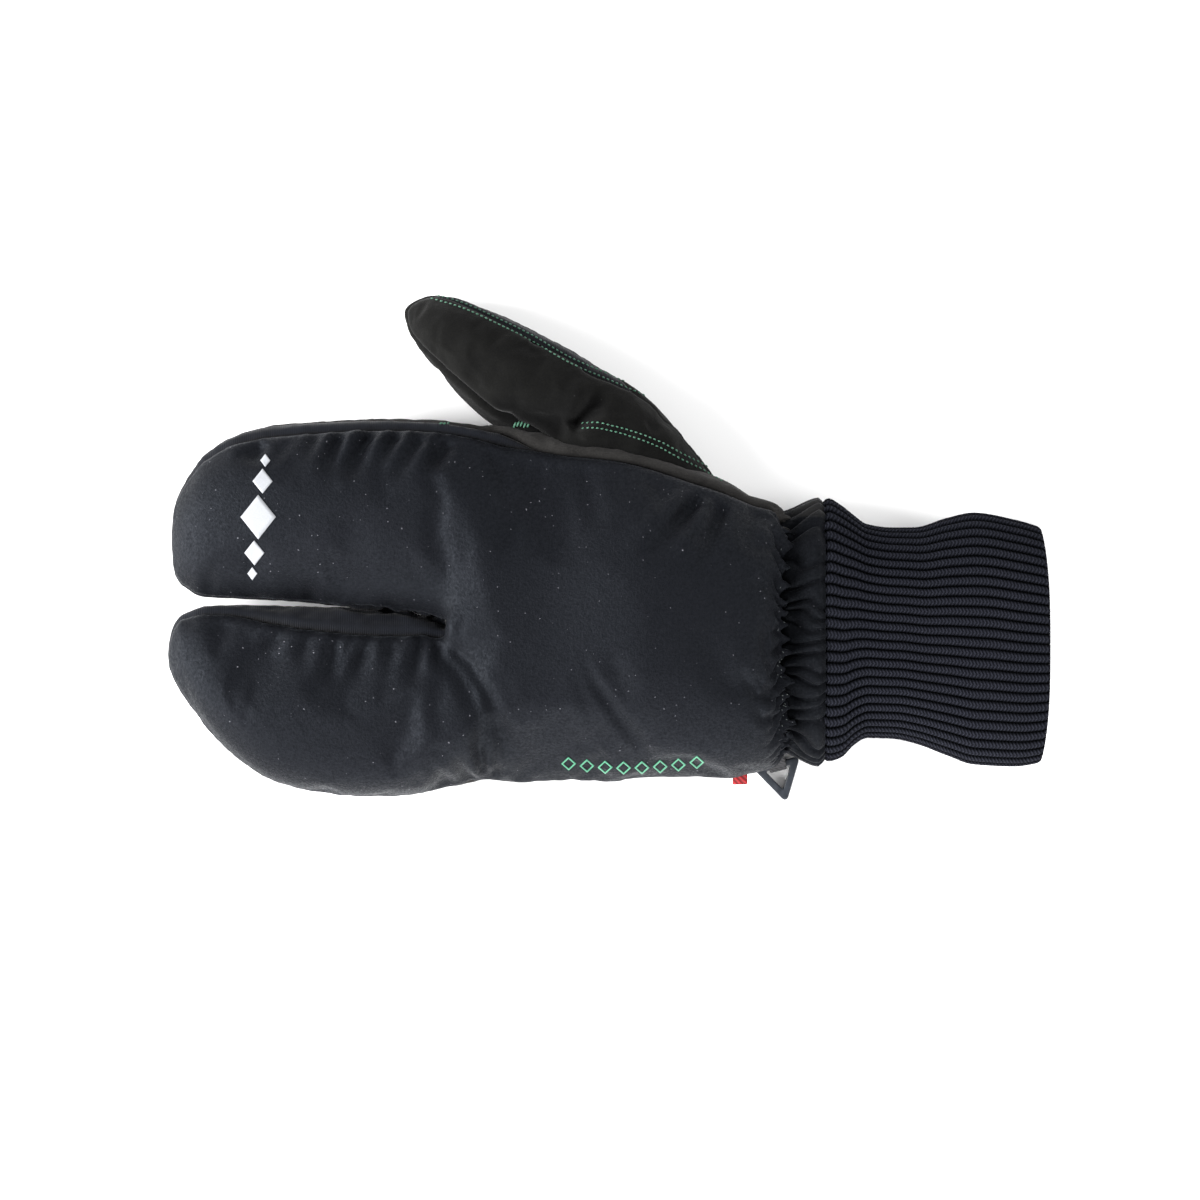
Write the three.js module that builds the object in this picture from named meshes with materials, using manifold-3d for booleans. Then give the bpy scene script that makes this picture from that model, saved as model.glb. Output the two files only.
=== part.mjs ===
// A left-hand winter mitt with one compartment for the thumb and two for the fingers, lying
// palm down: softshell back, suede palm and thumb, a gathered wrist and a ribbed knit cuff.
// Millimetres, +Z up, fingers towards -X, thumb towards +Y. The origin lies on the flat of the
// palm, under the middle of the hand.
import * as THREE from "three";
import Module from "manifold-3d";

const wasm = await Module();
wasm.setup();

// Hand
const lobeLength = 95; // tip of the ring lobe to the crotch between the two finger lobes
const palmLength = 116; // crotch to the elastic at the wrist
const handWidth = 122;
const handThickness = 48;
const shellWall = 3; // softshell or suede with its insulation
const originShare = 0.478; // share of the palm that lies between the crotch and the origin

// Thumb
const thumbLength = 68; // tip to where its middle line meets the side of the hand
const thumbWidth = 37.5;
const thumbThickness = 33;
const thumbSplay = 33; // degrees between the thumb and the fingers
const thumbWall = 2.6;

// Wrist and cuff
const gatherLength = 14;
const gatherWall = 2.2;
const gatherDepth = 1.7; // crest to trough of the gathers
const gatherCount = 28;
const foldDepth = 1.6; // folds that the elastic draws into the hand
const foldReach = 19; // how far they run up the hand
const cuffLength = 75;
const cuffWidth = 90;
const cuffThickness = 35;
const knitWall = 3.2;
const ribCount = 56;
const ribDepth = 1.1;
const cuffRoll = 0.7; // how far the cuff's turned edge bulges at the wrist
const cuffBow = 2.6; // how far the middle of the cuff's hem stands past its edges

// Hanging ring, its loop, and the label in the side seam
const ringSide = 17; // outer side of the triangle, up to its sharp corners
const ringCorner = 1.6;
const ringBar = 2.4;
const ringHeight = 2.6;
const ringTurn = 14; // degrees between its upper bar and the length of the hand
const loopWidth = 6;
const loopStrap = 0.8;
const loopRise = 1.6; // how far the doubled strap rises above the ring
const loopInset = 3.4; // from the elastic to the middle of the loop
const labelWidth = 5;
const labelReach = 2;
const labelThickness = 1;
const labelStation = 0.86; // share of the palm, from the crotch

const seamGap = 0.3; // between pieces that are sewn or rest against each other
const insideRun = 8; // how far a hollow's cutter runs on past the open end
const farAway = 400;

// Where a place along the hand lies: -1 is the fingertips, 0 the crotch and 1 the elastic.
const crotchX = -originShare * palmLength;
const alongHand = (p) => crotchX + p * (p < 0 ? lobeLength : palmLength);
const elasticX = alongHand(1);
const cuffX = elasticX + gatherLength;

const rows = (names, table) =>
  table.map((values) => Object.fromEntries(names.map((name, i) => [name, values[i]])));

// The outlines below hold shares: upper and lower of the width, from the hand's centre line,
// top and bottom of the thickness.
const outline = ["along", "upper", "lower", "top", "bottom"];

const indexLobe = rows(outline, [
  [-0.985, 0.28, 0.12, 0.37, 0.18],
  [-0.972, 0.318, 0.092, 0.44, 0.12],
  [-0.94, 0.362, 0.066, 0.51, 0.07],
  [-0.89, 0.421, 0.047, 0.58, 0.03],
  [-0.83, 0.465, 0.036, 0.63, 0],
  [-0.74, 0.501, 0.03, 0.68, 0],
  [-0.6, 0.525, 0.026, 0.73, 0],
  [-0.42, 0.535, 0.018, 0.77, 0],
  [-0.24, 0.54, 0.002, 0.81, 0],
  [-0.06, 0.537, -0.024, 0.85, 0],
  [0.1, 0.522, -0.07, 0.87, 0],
  [0.26, 0.47, -0.06, 0.84, 0],
]);

const ringLobe = rows(outline, [
  [-1, -0.088, -0.165, 0.36, 0.19],
  [-0.985, -0.05, -0.196, 0.43, 0.13],
  [-0.954, -0.018, -0.238, 0.5, 0.08],
  [-0.9, 0.001, -0.297, 0.57, 0.03],
  [-0.846, 0.009, -0.351, 0.62, 0],
  [-0.74, 0.013, -0.429, 0.67, 0],
  [-0.632, 0.01, -0.482, 0.71, 0],
  [-0.525, 0.004, -0.507, 0.74, 0],
  [-0.364, -0.006, -0.526, 0.77, 0],
  [-0.22, -0.014, -0.529, 0.8, 0],
  [-0.06, -0.042, -0.515, 0.84, 0],
  [0.1, -0.046, -0.482, 0.86, 0],
  [0.26, -0.056, -0.44, 0.83, 0],
]);

const hand = rows(outline, [
  [0, 0.2, -0.28, 0.55, 0.04],
  [0.025, 0.4, -0.4, 0.66, 0],
  [0.07, 0.505, -0.466, 0.79, 0],
  [0.13, 0.526, -0.484, 0.88, 0],
  [0.22, 0.524, -0.493, 0.94, 0],
  [0.36, 0.5, -0.484, 0.985, 0],
  [0.48, 0.482, -0.488, 1, 0],
  [0.6, 0.446, -0.474, 1, 0],
  [0.72, 0.402, -0.474, 0.99, 0],
  [0.82, 0.366, -0.477, 0.97, 0],
  [0.9, 0.325, -0.462, 0.94, 0],
  [0.96, 0.31, -0.447, 0.88, 0],
  [1, 0.3, -0.432, 0.77, 0],
]);

// The gathered channel, along its own length. It starts with the hand's last outline.
const gather = [
  { ...hand.at(-1), along: 0 },
  ...rows(outline, [
    [0.5, 0.306, -0.429, 0.74, 0],
    [1, 0.312, -0.424, 0.74, 0],
  ]),
];

// The cuff, along its own length, in shares of its own width and thickness. Its turned edge
// keeps to the gathers' outline, as far as edgeEnd.
const edgeEnd = 0.12;
const cuff = rows(outline, [
  [0, 0.41, -0.56, 0.96, 0],
  [0.025, 0.41, -0.56, 0.98, 0],
  [0.07, 0.37, -0.51, 0.95, 0],
  [0.14, 0.338, -0.484, 0.91, 0],
  [0.28, 0.318, -0.486, 0.87, 0],
  [0.42, 0.318, -0.514, 0.85, 0],
  [0.57, 0.35, -0.558, 0.83, 0],
  [0.72, 0.369, -0.589, 0.8, 0],
  [0.88, 0.343, -0.594, 0.77, 0],
  [1, 0.315, -0.58, 0.73, 0],
]);

// The thumb, along its middle line from its tip at 0 to the side of the hand at 1, in shares
// of its own width and thickness.
const thumb = rows(outline, [
  [0.02, 0.05, -0.05, 0.42, 0.26],
  [0.035, 0.125, -0.085, 0.5, 0.18],
  [0.065, 0.205, -0.13, 0.6, 0.1],
  [0.11, 0.285, -0.195, 0.71, 0.03],
  [0.2, 0.355, -0.265, 0.82, 0],
  [0.32, 0.4, -0.325, 0.91, 0],
  [0.48, 0.455, -0.4, 0.97, 0],
  [0.65, 0.49, -0.45, 1, 0],
  [0.83, 0.52, -0.47, 1, 0],
  [1, 0.53, -0.46, 1, 0],
  [1.18, 0.54, -0.44, 0.99, 0],
  [1.36, 0.5, -0.42, 0.95, 0],
  [1.57, 0.39, -0.4, 0.88, 0],
  [1.78, 0.26, -0.36, 0.77, 0],
  [1.95, 0.08, -0.32, 0.66, 0],
]);

// Creases in the back: the middle of each, which way it runs in degrees from +X, its length
// and breadth in shares of the hand's width, and its depth in shares of the thickness.
const creases = rows(["along", "across", "turn", "length", "breadth", "depth"], [
  [0.12, -0.2, -62, 0.26, 0.04, 0.05],
  [0.2, -0.42, -85, 0.12, 0.045, 0.06],
  [0.52, -0.38, -52, 0.22, 0.04, 0.045],
  [0.7, 0.22, 50, 0.16, 0.04, 0.04],
  [0.79, 0.2, 65, 0.14, 0.035, 0.035],
  [0.86, -0.16, 80, 0.2, 0.035, 0.035],
  [0.07, 0.12, 84, 0.3, 0.045, 0.03],
]);

// How high the seams lie round the hand, in shares of its thickness: two sides each of the
// index lobe and the ring lobe. Past the crotch the inner two meet inside the hollow.
const seamSides = ["along", "indexOuter", "indexSlit", "ringSlit", "ringOuter"];
const backSeam = rows(seamSides, [
  [-1.1, 0.27, 0.27, 0.27, 0.27],
  [-0.97, 0.31, 0.29, 0.36, 0.27],
  [-0.88, 0.4, 0.32, 0.46, 0.27],
  [-0.74, 0.48, 0.36, 0.55, 0.27],
  [-0.52, 0.54, 0.42, 0.6, 0.27],
  [-0.24, 0.57, 0.46, 0.64, 0.28],
  [-0.02, 0.6, 0.5, 0.64, 0.3],
  [0.06, 0.62, 0.5, 0.5, 0.32],
  [0.22, 0.67, 0.5, 0.5, 0.32],
  [0.36, 0.71, 0.5, 0.5, 0.32],
  [0.6, 0.74, 0.5, 0.5, 0.32],
  [0.8, 0.72, 0.5, 0.5, 0.32],
  [0.94, 0.62, 0.5, 0.5, 0.3],
  [1.1, 0.54, 0.5, 0.5, 0.3],
]);
const gussetSeam = rows(seamSides, [
  [-1.1, 0.19, 0.19, 0.19, 0.19],
  [-0.97, 0.19, 0.18, 0.18, 0.18],
  [-0.88, 0.22, 0.16, 0.16, 0.13],
  [-0.74, 0.29, 0.16, 0.16, 0.12],
  [-0.52, 0.36, 0.16, 0.16, 0.12],
  [-0.24, 0.41, 0.16, 0.16, 0.12],
  [0, 0.46, 0.16, 0.16, 0.12],
  [0.28, 0.58, 0.16, 0.16, 0.12],
]);
const gussetEnd = { index: 0.28, ring: 0.05 }; // along the hand, beside each lobe
const slitLine = rows(["along", "across"], [
  [-1.1, 0.02],
  [-0.74, 0.021],
  [-0.47, 0.015],
  [-0.24, -0.006],
  [-0.06, -0.033],
  [0, -0.05],
]);
const slitStep = 0.4; // either side of that line, where the two lobes' seam heights meet
const sideReach = 0.53; // share of the width where the outer sides' seam heights are read

// Seams of the thumb, in shares of its thickness: the back's on both sides, and the lower one
// of the strip that runs along the outer side.
const thumbSeams = rows(["along", "inner", "outer", "strip"], [
  [-0.2, 0.34, 0.36, 0.3],
  [0.05, 0.42, 0.42, 0.34],
  [0.3, 0.66, 0.62, 0.4],
  [0.6, 0.78, 0.74, 0.46],
  [1, 0.82, 0.78, 0.48],
  [1.3, 0.82, 0.8, 0.6],
  [2, 0.82, 0.8, 0.6],
]);
const thumbStrip = { from: 0.06, to: 1.25 };

const widestShare = 0.42; // height of a section's widest place, in shares of its own height
const topFullness = 2.3; // 2 is an ellipse, more is boxier
const bottomFullness = 3;
const pressed = 1.12; // how far the underside would sink if what it lies on didn't flatten it
const underShare = 0.6; // how closely a flattened underside's points lie, against the rest

const points = { hand: 36, lobe: 24, thumb: 20, handHollow: 24, limbHollow: 16, cuffHollow: 24 };

// One column's value between its rows, and level past the first and last.
function steady(table, name) {
  return (along) => {
    const next = table.findIndex((row) => row.along >= along);
    if (next === 0) return table[0][name];
    if (next < 0) return table.at(-1)[name];
    const [a, b] = [table[next - 1], table[next]];
    return THREE.MathUtils.mapLinear(along, a.along, b.along, a[name], b[name]);
  };
}

// An outline's shares as lengths.
const sized = ({ upper, lower, top, bottom }, width, thickness) => ({
  upper: upper * width,
  lower: lower * width,
  top: top * thickness,
  bottom: bottom * thickness,
});

// A section's own measures, with the whole outline moved out by grow, or in below zero.
function measures({ upper, lower, top, bottom }, grow) {
  const widest = bottom + widestShare * (top - bottom);
  return {
    middle: (upper + lower) / 2,
    half: (upper - lower) / 2 + grow,
    widest,
    rise: top - widest + grow,
    drop: (widest - bottom) * (bottom > 0 ? 1 : pressed) + grow,
    floor: bottom > 0 ? 0 : -grow,
  };
}

// Where a section's outline lies at an angle round it: place across the hand, and height.
function onOutline(shape, grow, angle) {
  const { middle, half, widest, rise, drop, floor } = measures(shape, grow);
  const [c, s] = [Math.cos(angle), Math.sin(angle)];
  const fullness = s > 0 ? topFullness : bottomFullness;
  const power = (value) => Math.sign(value) * Math.abs(value) ** (2 / fullness);
  return new THREE.Vector2(
    middle + half * power(c),
    Math.max(widest + (s > 0 ? rise : drop) * power(s), floor),
  );
}

// Angles that space the points evenly along the outline, or wider on the underside.
function evenAngles(shape, grow, count, under) {
  const fine = 180;
  const angles = Array.from({ length: fine + 1 }, (_, i) => (2 * Math.PI * i) / fine);
  const reached = [0];
  angles.slice(1).forEach((angle, i) => {
    const step = onOutline(shape, grow, angle).distanceTo(onOutline(shape, grow, angles[i]));
    reached.push(reached[i] + step * (angle > Math.PI ? under : 1));
  });
  return Array.from({ length: count }, (_, i) => {
    const goal = (reached.at(-1) * i) / count;
    const next = Math.max(1, reached.findIndex((length) => length >= goal));
    return THREE.MathUtils.mapLinear(
      goal,
      reached[next - 1],
      reached[next],
      angles[next - 1],
      angles[next],
    );
  });
}

// One closed section. sink(i) draws point i in, for a gather, fold or rib.
function section({ shape, grow, count, under = underShare, sink = () => 0 }) {
  return evenAngles(shape, grow, count, under).map((angle, i) =>
    onOutline(shape, grow - sink(i), angle),
  );
}

function solid(vertices, triangles) {
  const vertProperties = new Float32Array(vertices.flatMap((p) => p.toArray()));
  const made = (triVerts) =>
    new wasm.Manifold(new wasm.Mesh({ numProp: 3, vertProperties, triVerts }));
  const first = made(new Uint32Array(triangles));
  return first.volume() > 0 ? first : made(new Uint32Array(triangles.toReversed()));
}

// A closed solid through rings of the same number of points.
function loft(rings) {
  const count = rings[0].length;
  const vertices = rings.flat();
  const triangles = [];
  for (let r = 0; r + 1 < rings.length; r++)
    for (let i = 0; i < count; i++) {
      const [a, b] = [r * count + i, r * count + ((i + 1) % count)];
      triangles.push(a, b, a + count, b, b + count, a + count);
    }
  for (const end of [0, rings.length - 1]) {
    const middle = new THREE.Vector3();
    rings[end].forEach((point) => middle.addScaledVector(point, 1 / count));
    const hub = vertices.push(middle) - 1;
    for (let i = 0; i < count; i++) {
      const [a, b] = [end * count + i, end * count + ((i + 1) % count)];
      triangles.push(hub, ...(end ? [a, b] : [b, a]));
    }
  }
  return solid(vertices, triangles);
}

// A block from a surface, given as a grid of points, up or down to a level.
function blockFrom(grid, level) {
  const [m, n] = [grid.length, grid[0].length];
  const surface = grid.flat();
  const vertices = [...surface, ...surface.map((p) => p.clone().setZ(level))];
  const at = (i, j, layer) => layer * m * n + i * n + j;
  const triangles = [];
  const quad = (a, b, c, d) => triangles.push(a, b, c, a, c, d);
  for (let i = 0; i + 1 < m; i++)
    for (let j = 0; j + 1 < n; j++) {
      quad(at(i, j, 0), at(i, j + 1, 0), at(i + 1, j + 1, 0), at(i + 1, j, 0));
      quad(at(i, j, 1), at(i + 1, j, 1), at(i + 1, j + 1, 1), at(i, j + 1, 1));
    }
  for (let i = 0; i + 1 < m; i++) {
    quad(at(i, 0, 0), at(i + 1, 0, 0), at(i + 1, 0, 1), at(i, 0, 1));
    quad(at(i, n - 1, 0), at(i, n - 1, 1), at(i + 1, n - 1, 1), at(i + 1, n - 1, 0));
  }
  for (let j = 0; j + 1 < n; j++) {
    quad(at(0, j, 0), at(0, j, 1), at(0, j + 1, 1), at(0, j + 1, 0));
    quad(at(m - 1, j, 0), at(m - 1, j + 1, 0), at(m - 1, j + 1, 1), at(m - 1, j, 1));
  }
  return solid(vertices, triangles);
}

// How deep the back is pressed in at a point.
function creaseDepth(x, y) {
  return creases.reduce((sum, { along, across, turn, length, breadth, depth }) => {
    const place = new THREE.Vector2(x - alongHand(along), y - across * handWidth)
      .rotateAround(new THREE.Vector2(), -THREE.MathUtils.degToRad(turn))
      .divide(new THREE.Vector2(length / 2, breadth).multiplyScalar(handWidth));
    return sum + depth * handThickness * Math.exp(-place.lengthSq());
  }, 0);
}

// Folds that the elastic draws into the hand: every second point sinks in, most at the elastic.
const foldAt = (x, i) =>
  (i % 2) * foldDepth * THREE.MathUtils.smoothstep(x, elasticX - foldReach, elasticX);

// A hollow leaves out the sections that are too small for it.
const roomAcross = 8;
const roomUp = 6;
const isRoomy = ({ upper, lower, top, bottom }, grow) =>
  upper - lower + 2 * grow > roomAcross && top - bottom + 2 * grow > roomUp;

// Sections of the hand or one of its lobes.
function handRings(table, grow, count) {
  const hollow = grow < 0;
  const rings = table
    .map((row) => ({ x: alongHand(row.along), shape: sized(row, handWidth, handThickness) }))
    .filter(({ x, shape }, _, [first]) => !hollow || (x - first.x > -grow && isRoomy(shape, grow)))
    .map(({ x, shape }) => {
      const sink = (i) => (table === hand && !hollow ? foldAt(x, i) : 0);
      return section({ shape, grow, count, sink }).map(({ x: across, y: height }) => {
        const onBack = THREE.MathUtils.smoothstep(height / shape.top, 0.5, 0.85);
        return new THREE.Vector3(x, across, height - creaseDepth(x, across) * onBack);
      });
    });
  if (hollow && table === hand)
    rings.push(rings.at(-1).map((point) => point.clone().setX(point.x + insideRun)));
  return rings;
}

const wholeHand = (grow, handPoints, lobePoints) =>
  loft(handRings(hand, grow, handPoints))
    .add(loft(handRings(indexLobe, grow, lobePoints)))
    .add(loft(handRings(ringLobe, grow, lobePoints)));

// The thumb's own axes: along its middle line from its tip, and v across it to its outer side.
const splay = THREE.MathUtils.degToRad(thumbSplay);
const thumbRoot = new THREE.Vector2(alongHand(0.36), 0.543 * handWidth);
function fromThumb(along, v, z) {
  const s = (along - 1) * thumbLength;
  return new THREE.Vector3(
    thumbRoot.x + s * Math.cos(splay) + v * Math.sin(splay),
    thumbRoot.y - s * Math.sin(splay) + v * Math.cos(splay),
    z,
  );
}

function thumbForm(grow, count) {
  const hollow = grow < 0;
  return loft(
    thumb
      .map((row) => ({ t: row.along, shape: sized(row, thumbWidth, thumbThickness) }))
      .filter(({ t, shape }) => !hollow || (t * thumbLength > -grow && isRoomy(shape, grow)))
      .map(({ t, shape }) =>
        section({ shape, grow, count }).map(({ x, y }) => fromThumb(t, x, y)),
      ),
  );
}

// The surface along a seam round the hand, lifted or lowered, on one or both sides of the slit
// and up to a place along the hand.
function seamGrid(table, lift, { side, end = Infinity, past = 0 } = {}) {
  const slitAt = steady(slitLine, "across");
  const stops = table.map((row) => row.along).filter((p) => p < end);
  if (end < Infinity) stops.push(end);
  return stops.map((p) => {
    const x = alongHand(p) + (p === end ? past : 0);
    const slit = slitAt(p) * handWidth;
    const knots = [
      [-farAway, "ringOuter"],
      [-sideReach * handWidth, "ringOuter"],
      [slit - slitStep, "ringSlit"],
      [slit + slitStep, "indexSlit"],
      [sideReach * handWidth, "indexOuter"],
      [farAway, "indexOuter"],
    ];
    return knots
      .filter((_, i) => (side === "index" ? i > 1 : side === "ring" ? i < 4 : true))
      .map(([y, name]) => {
        const height = steady(table, name)(p) * handThickness;
        return new THREE.Vector3(x, y, height + lift);
      });
  });
}

// The strip between back and palm runs down the index lobe's side, round both tips and through
// the slit.
function gussetBlock(spare) {
  const [index, ring] = ["index", "ring"].map((side) =>
    blockFrom(seamGrid(gussetSeam, -spare, { side, end: gussetEnd[side], past: spare }), farAway),
  );
  return index.add(ring);
}

function thumbGrid(names, lift, { from = -Infinity, to = Infinity, spare = 0 } = {}) {
  const stops = thumbSeams.map((row) => row.along).filter((t) => t > from && t < to);
  if (from > -Infinity) stops.unshift(from - spare / thumbLength);
  if (to < Infinity) stops.push(to + spare / thumbLength);
  const [first, last] = names.map((name) => steady(thumbSeams, name));
  const near = from > -Infinity ? -spare : -farAway;
  return stops.map((t) =>
    [
      [near, first],
      [-thumbWidth / 2, first],
      [thumbWidth / 2, last],
      [farAway, last],
    ]
      .filter(([v]) => v >= near)
      .map(([v, level]) => fromThumb(t, v, level(t) * thumbThickness + lift)),
  );
}

function thumbStripBlock(spare) {
  const grid = thumbGrid(["strip", "strip"], -spare, { ...thumbStrip, spare });
  return blockFrom(grid, farAway);
}

// The hand's shell, parted along its seams.
const handHollow = wholeHand(-shellWall, points.handHollow, points.limbHollow);
const thumbHollow = thumbForm(-thumbWall, points.limbHollow);
const handShell = wholeHand(0, points.hand, points.lobe)
  .subtract(handHollow)
  .subtract(thumbHollow);
const backPanel = handShell.intersect(blockFrom(seamGrid(backSeam, seamGap / 2), farAway));
const lowerHand = handShell.intersect(blockFrom(seamGrid(backSeam, -seamGap / 2), -farAway));
const fingerGusset = lowerHand.intersect(gussetBlock(0));
const palmPanel = lowerHand.subtract(gussetBlock(seamGap));

// The thumb's shell, clear of the hand.
const backNames = ["inner", "outer"];
const thumbShell = thumbForm(0, points.thumb)
  .subtract(thumbHollow)
  .subtract(wholeHand(seamGap, points.hand, points.lobe));
const thumbBack = thumbShell.intersect(blockFrom(thumbGrid(backNames, seamGap / 2), farAway));
const lowerThumb = thumbShell.intersect(
  blockFrom(thumbGrid(backNames, -seamGap / 2), -farAway),
);
const thumbSide = lowerThumb.intersect(thumbStripBlock(0));
const thumbPalm = lowerThumb.subtract(thumbStripBlock(seamGap));

// A tube through sections along X. Its hollow's cutter runs on past both ends.
function sleeve({ table, shapeOf, start, length, bow = 0, grow, count, under, sink, run = 0 }) {
  const rings = table.map((row) => {
    const t = row.along;
    const shape = shapeOf(row);
    const { middle, half } = measures(shape, 0);
    return section({ shape, grow, count, under, sink: (i) => sink?.(t, i) ?? 0 }).map(
      ({ x: across, y: height }) => {
        const edge = Math.min(1, Math.abs(across - middle) / half);
        return new THREE.Vector3(start + t * (length - bow * edge ** 3), across, height);
      },
    );
  });
  if (run > 0) {
    const shifted = (ring, by) => ring.map((point) => point.clone().setX(point.x + by));
    rings.unshift(shifted(rings[0], -run));
    rings.push(shifted(rings.at(-1), run));
  }
  return loft(rings);
}

// Every second point sinks in, for a gather or a rib.
const wristBand = {
  table: gather,
  shapeOf: (row) => sized(row, handWidth, handThickness),
  start: elasticX + seamGap,
  length: gatherLength - seamGap,
};
const wristHollow = { grow: -gatherDepth - gatherWall, count: points.cuffHollow, run: insideRun };
const wristGather = sleeve({
  ...wristBand,
  grow: 0,
  count: gatherCount * 2,
  sink: (t, i) => (i % 2) * gatherDepth,
}).subtract(sleeve({ ...wristBand, ...wristHollow }));

function cuffShape(row) {
  const own = sized(row, cuffWidth, cuffThickness);
  const atWrist = sized(gather.at(-1), handWidth, handThickness);
  const held = 1 - THREE.MathUtils.smoothstep(row.along, 0, edgeEnd);
  const bulge = cuffRoll * Math.sin(Math.PI * Math.min(1, (2 * row.along) / edgeEnd));
  return {
    upper: THREE.MathUtils.lerp(own.upper, atWrist.upper, held) + bulge,
    lower: THREE.MathUtils.lerp(own.lower, atWrist.lower, held) - bulge,
    top: THREE.MathUtils.lerp(own.top, atWrist.top, held) + bulge,
    bottom: 0,
  };
}
const ribFade = (t) => Math.min(1, 0.35 + 12 * Math.min(t, 1 - t));
const cuffBody = {
  table: cuff,
  shapeOf: cuffShape,
  start: cuffX + seamGap,
  length: cuffLength - seamGap,
  bow: cuffBow,
};
const cuffHollow = { grow: -knitWall, count: points.cuffHollow, run: insideRun };
const knitCuff = sleeve({
  ...cuffBody,
  grow: 0,
  count: ribCount * 2,
  under: 1,
  sink: (t, i) => (i % 2) * ribDepth * ribFade(t),
}).subtract(sleeve({ ...cuffBody, ...cuffHollow }));

// Where the lower side of the hand lies, at a place along X and a height.
const handSections = handRings(hand, 0, points.hand);
function lowerSide(x, height) {
  const sideOf = (ring) => {
    const highest = Math.max(...ring.map((point) => point.z));
    const top = ring.findIndex((point) => point.z === highest);
    const below = ring.findIndex((point, i) => i > top && point.z <= height);
    const [a, b] = [ring[below - 1], ring[below]];
    return THREE.MathUtils.mapLinear(height, a.z, b.z, a.y, b.y);
  };
  const next = handSections.findIndex((ring) => ring[0].x >= x);
  if (next < 0) return sideOf(handSections.at(-1));
  const [before, after] = [handSections[next - 1], handSections[next]];
  return THREE.MathUtils.mapLinear(x, before[0].x, after[0].x, sideOf(before), sideOf(after));
}

// Its outermost place beside a piece of some width.
const lowerSideBeside = (x, width, height) =>
  Math.min(lowerSide(x - width / 2, height), lowerSide(x + width / 2, height));

// The ring is drawn from the middle of its upper bar, with x along the bar.
function triangle(side, corner) {
  const tips = [
    new THREE.Vector2(-side / 2, 0),
    new THREE.Vector2(0, (-side * Math.sqrt(3)) / 2),
    new THREE.Vector2(side / 2, 0),
  ];
  const cut = corner * Math.sqrt(3);
  const shape = new THREE.Shape();
  tips.forEach((tip, i) => {
    const towards = (other) =>
      tip.clone().addScaledVector(other.clone().sub(tip).normalize(), cut);
    const before = towards(tips[(i + 2) % 3]);
    const after = towards(tips[(i + 1) % 3]);
    if (i === 0) shape.moveTo(before.x, before.y);
    else shape.lineTo(before.x, before.y);
    shape.quadraticCurveTo(tip.x, tip.y, after.x, after.y);
  });
  shape.closePath();
  return shape;
}

const ringRise = (ringSide * Math.sqrt(3)) / 2 - ringBar / 2;
const barLift = loopStrap + seamGap;
const eyeTop = barLift + ringHeight + seamGap + loopStrap;
const eyeHalf = ringBar / 2 + seamGap + loopStrap;

function ringGeometry() {
  const shape = triangle(ringSide, ringCorner);
  const holeSide = ringSide - 2 * Math.sqrt(3) * ringBar;
  const hole = triangle(holeSide, ringCorner / 4).getPoints(3);
  shape.holes.push(new THREE.Path(hole.map((p) => new THREE.Vector2(p.x, p.y - ringBar))));
  return new THREE.ExtrudeGeometry(shape, {
    depth: ringHeight,
    bevelEnabled: false,
    curveSegments: 3,
  }).translate(0, ringBar / 2, 0);
}

// An eye round the bar, and the doubled strap that rises from it to the side seam.
function loopGeometry() {
  const path = (made, corners) => {
    corners.forEach(([x, y], i) => (i ? made.lineTo(x, y) : made.moveTo(x, y)));
    made.closePath();
    return made;
  };
  const shape = path(new THREE.Shape(), [
    [-eyeHalf, 0],
    [eyeHalf, 0],
    [eyeHalf, eyeTop],
    [loopStrap, eyeTop],
    [loopStrap, eyeTop + loopRise],
    [-loopStrap, eyeTop + loopRise],
    [-loopStrap, eyeTop],
    [-eyeHalf, eyeTop],
  ]);
  const [hole, holeTop] = [eyeHalf - loopStrap, eyeTop - loopStrap];
  shape.holes.push(
    path(new THREE.Path(), [
      [-hole, loopStrap],
      [-hole, holeTop],
      [hole, holeTop],
      [hole, loopStrap],
    ]),
  );
  return new THREE.ExtrudeGeometry(shape, { depth: loopWidth, bevelEnabled: false })
    .rotateX(Math.PI / 2)
    .rotateZ(Math.PI / 2)
    .translate(-loopWidth / 2, 0, 0);
}

function geometryOf(made) {
  const { numProp, vertProperties, triVerts } = made.getMesh();
  const corners = new Float32Array(triVerts.length * 3);
  triVerts.forEach((v, i) =>
    corners.set(vertProperties.subarray(v * numProp, v * numProp + 3), i * 3),
  );
  const geometry = new THREE.BufferGeometry();
  geometry.setAttribute("position", new THREE.BufferAttribute(corners, 3));
  geometry.computeVertexNormals();
  return geometry;
}

function meshOf(name, geometry, { color, roughness, metalness = 0 }) {
  const material = new THREE.MeshStandardMaterial({ color, roughness, metalness });
  const mesh = new THREE.Mesh(geometry, material);
  mesh.name = name;
  return mesh;
}

const softshell = { color: 0x1d1e24, roughness: 0.8 };
const stretchCloth = { color: 0x1b1f28, roughness: 0.85 };
const suede = { color: 0x1c1a19, roughness: 0.95 };
const knit = { color: 0x17191e, roughness: 0.92 };
const plastic = { color: 0x2b323b, roughness: 0.4 };
const webbing = { color: 0x111113, roughness: 0.9 };
const redCloth = { color: 0xb0161b, roughness: 0.75 };

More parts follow.
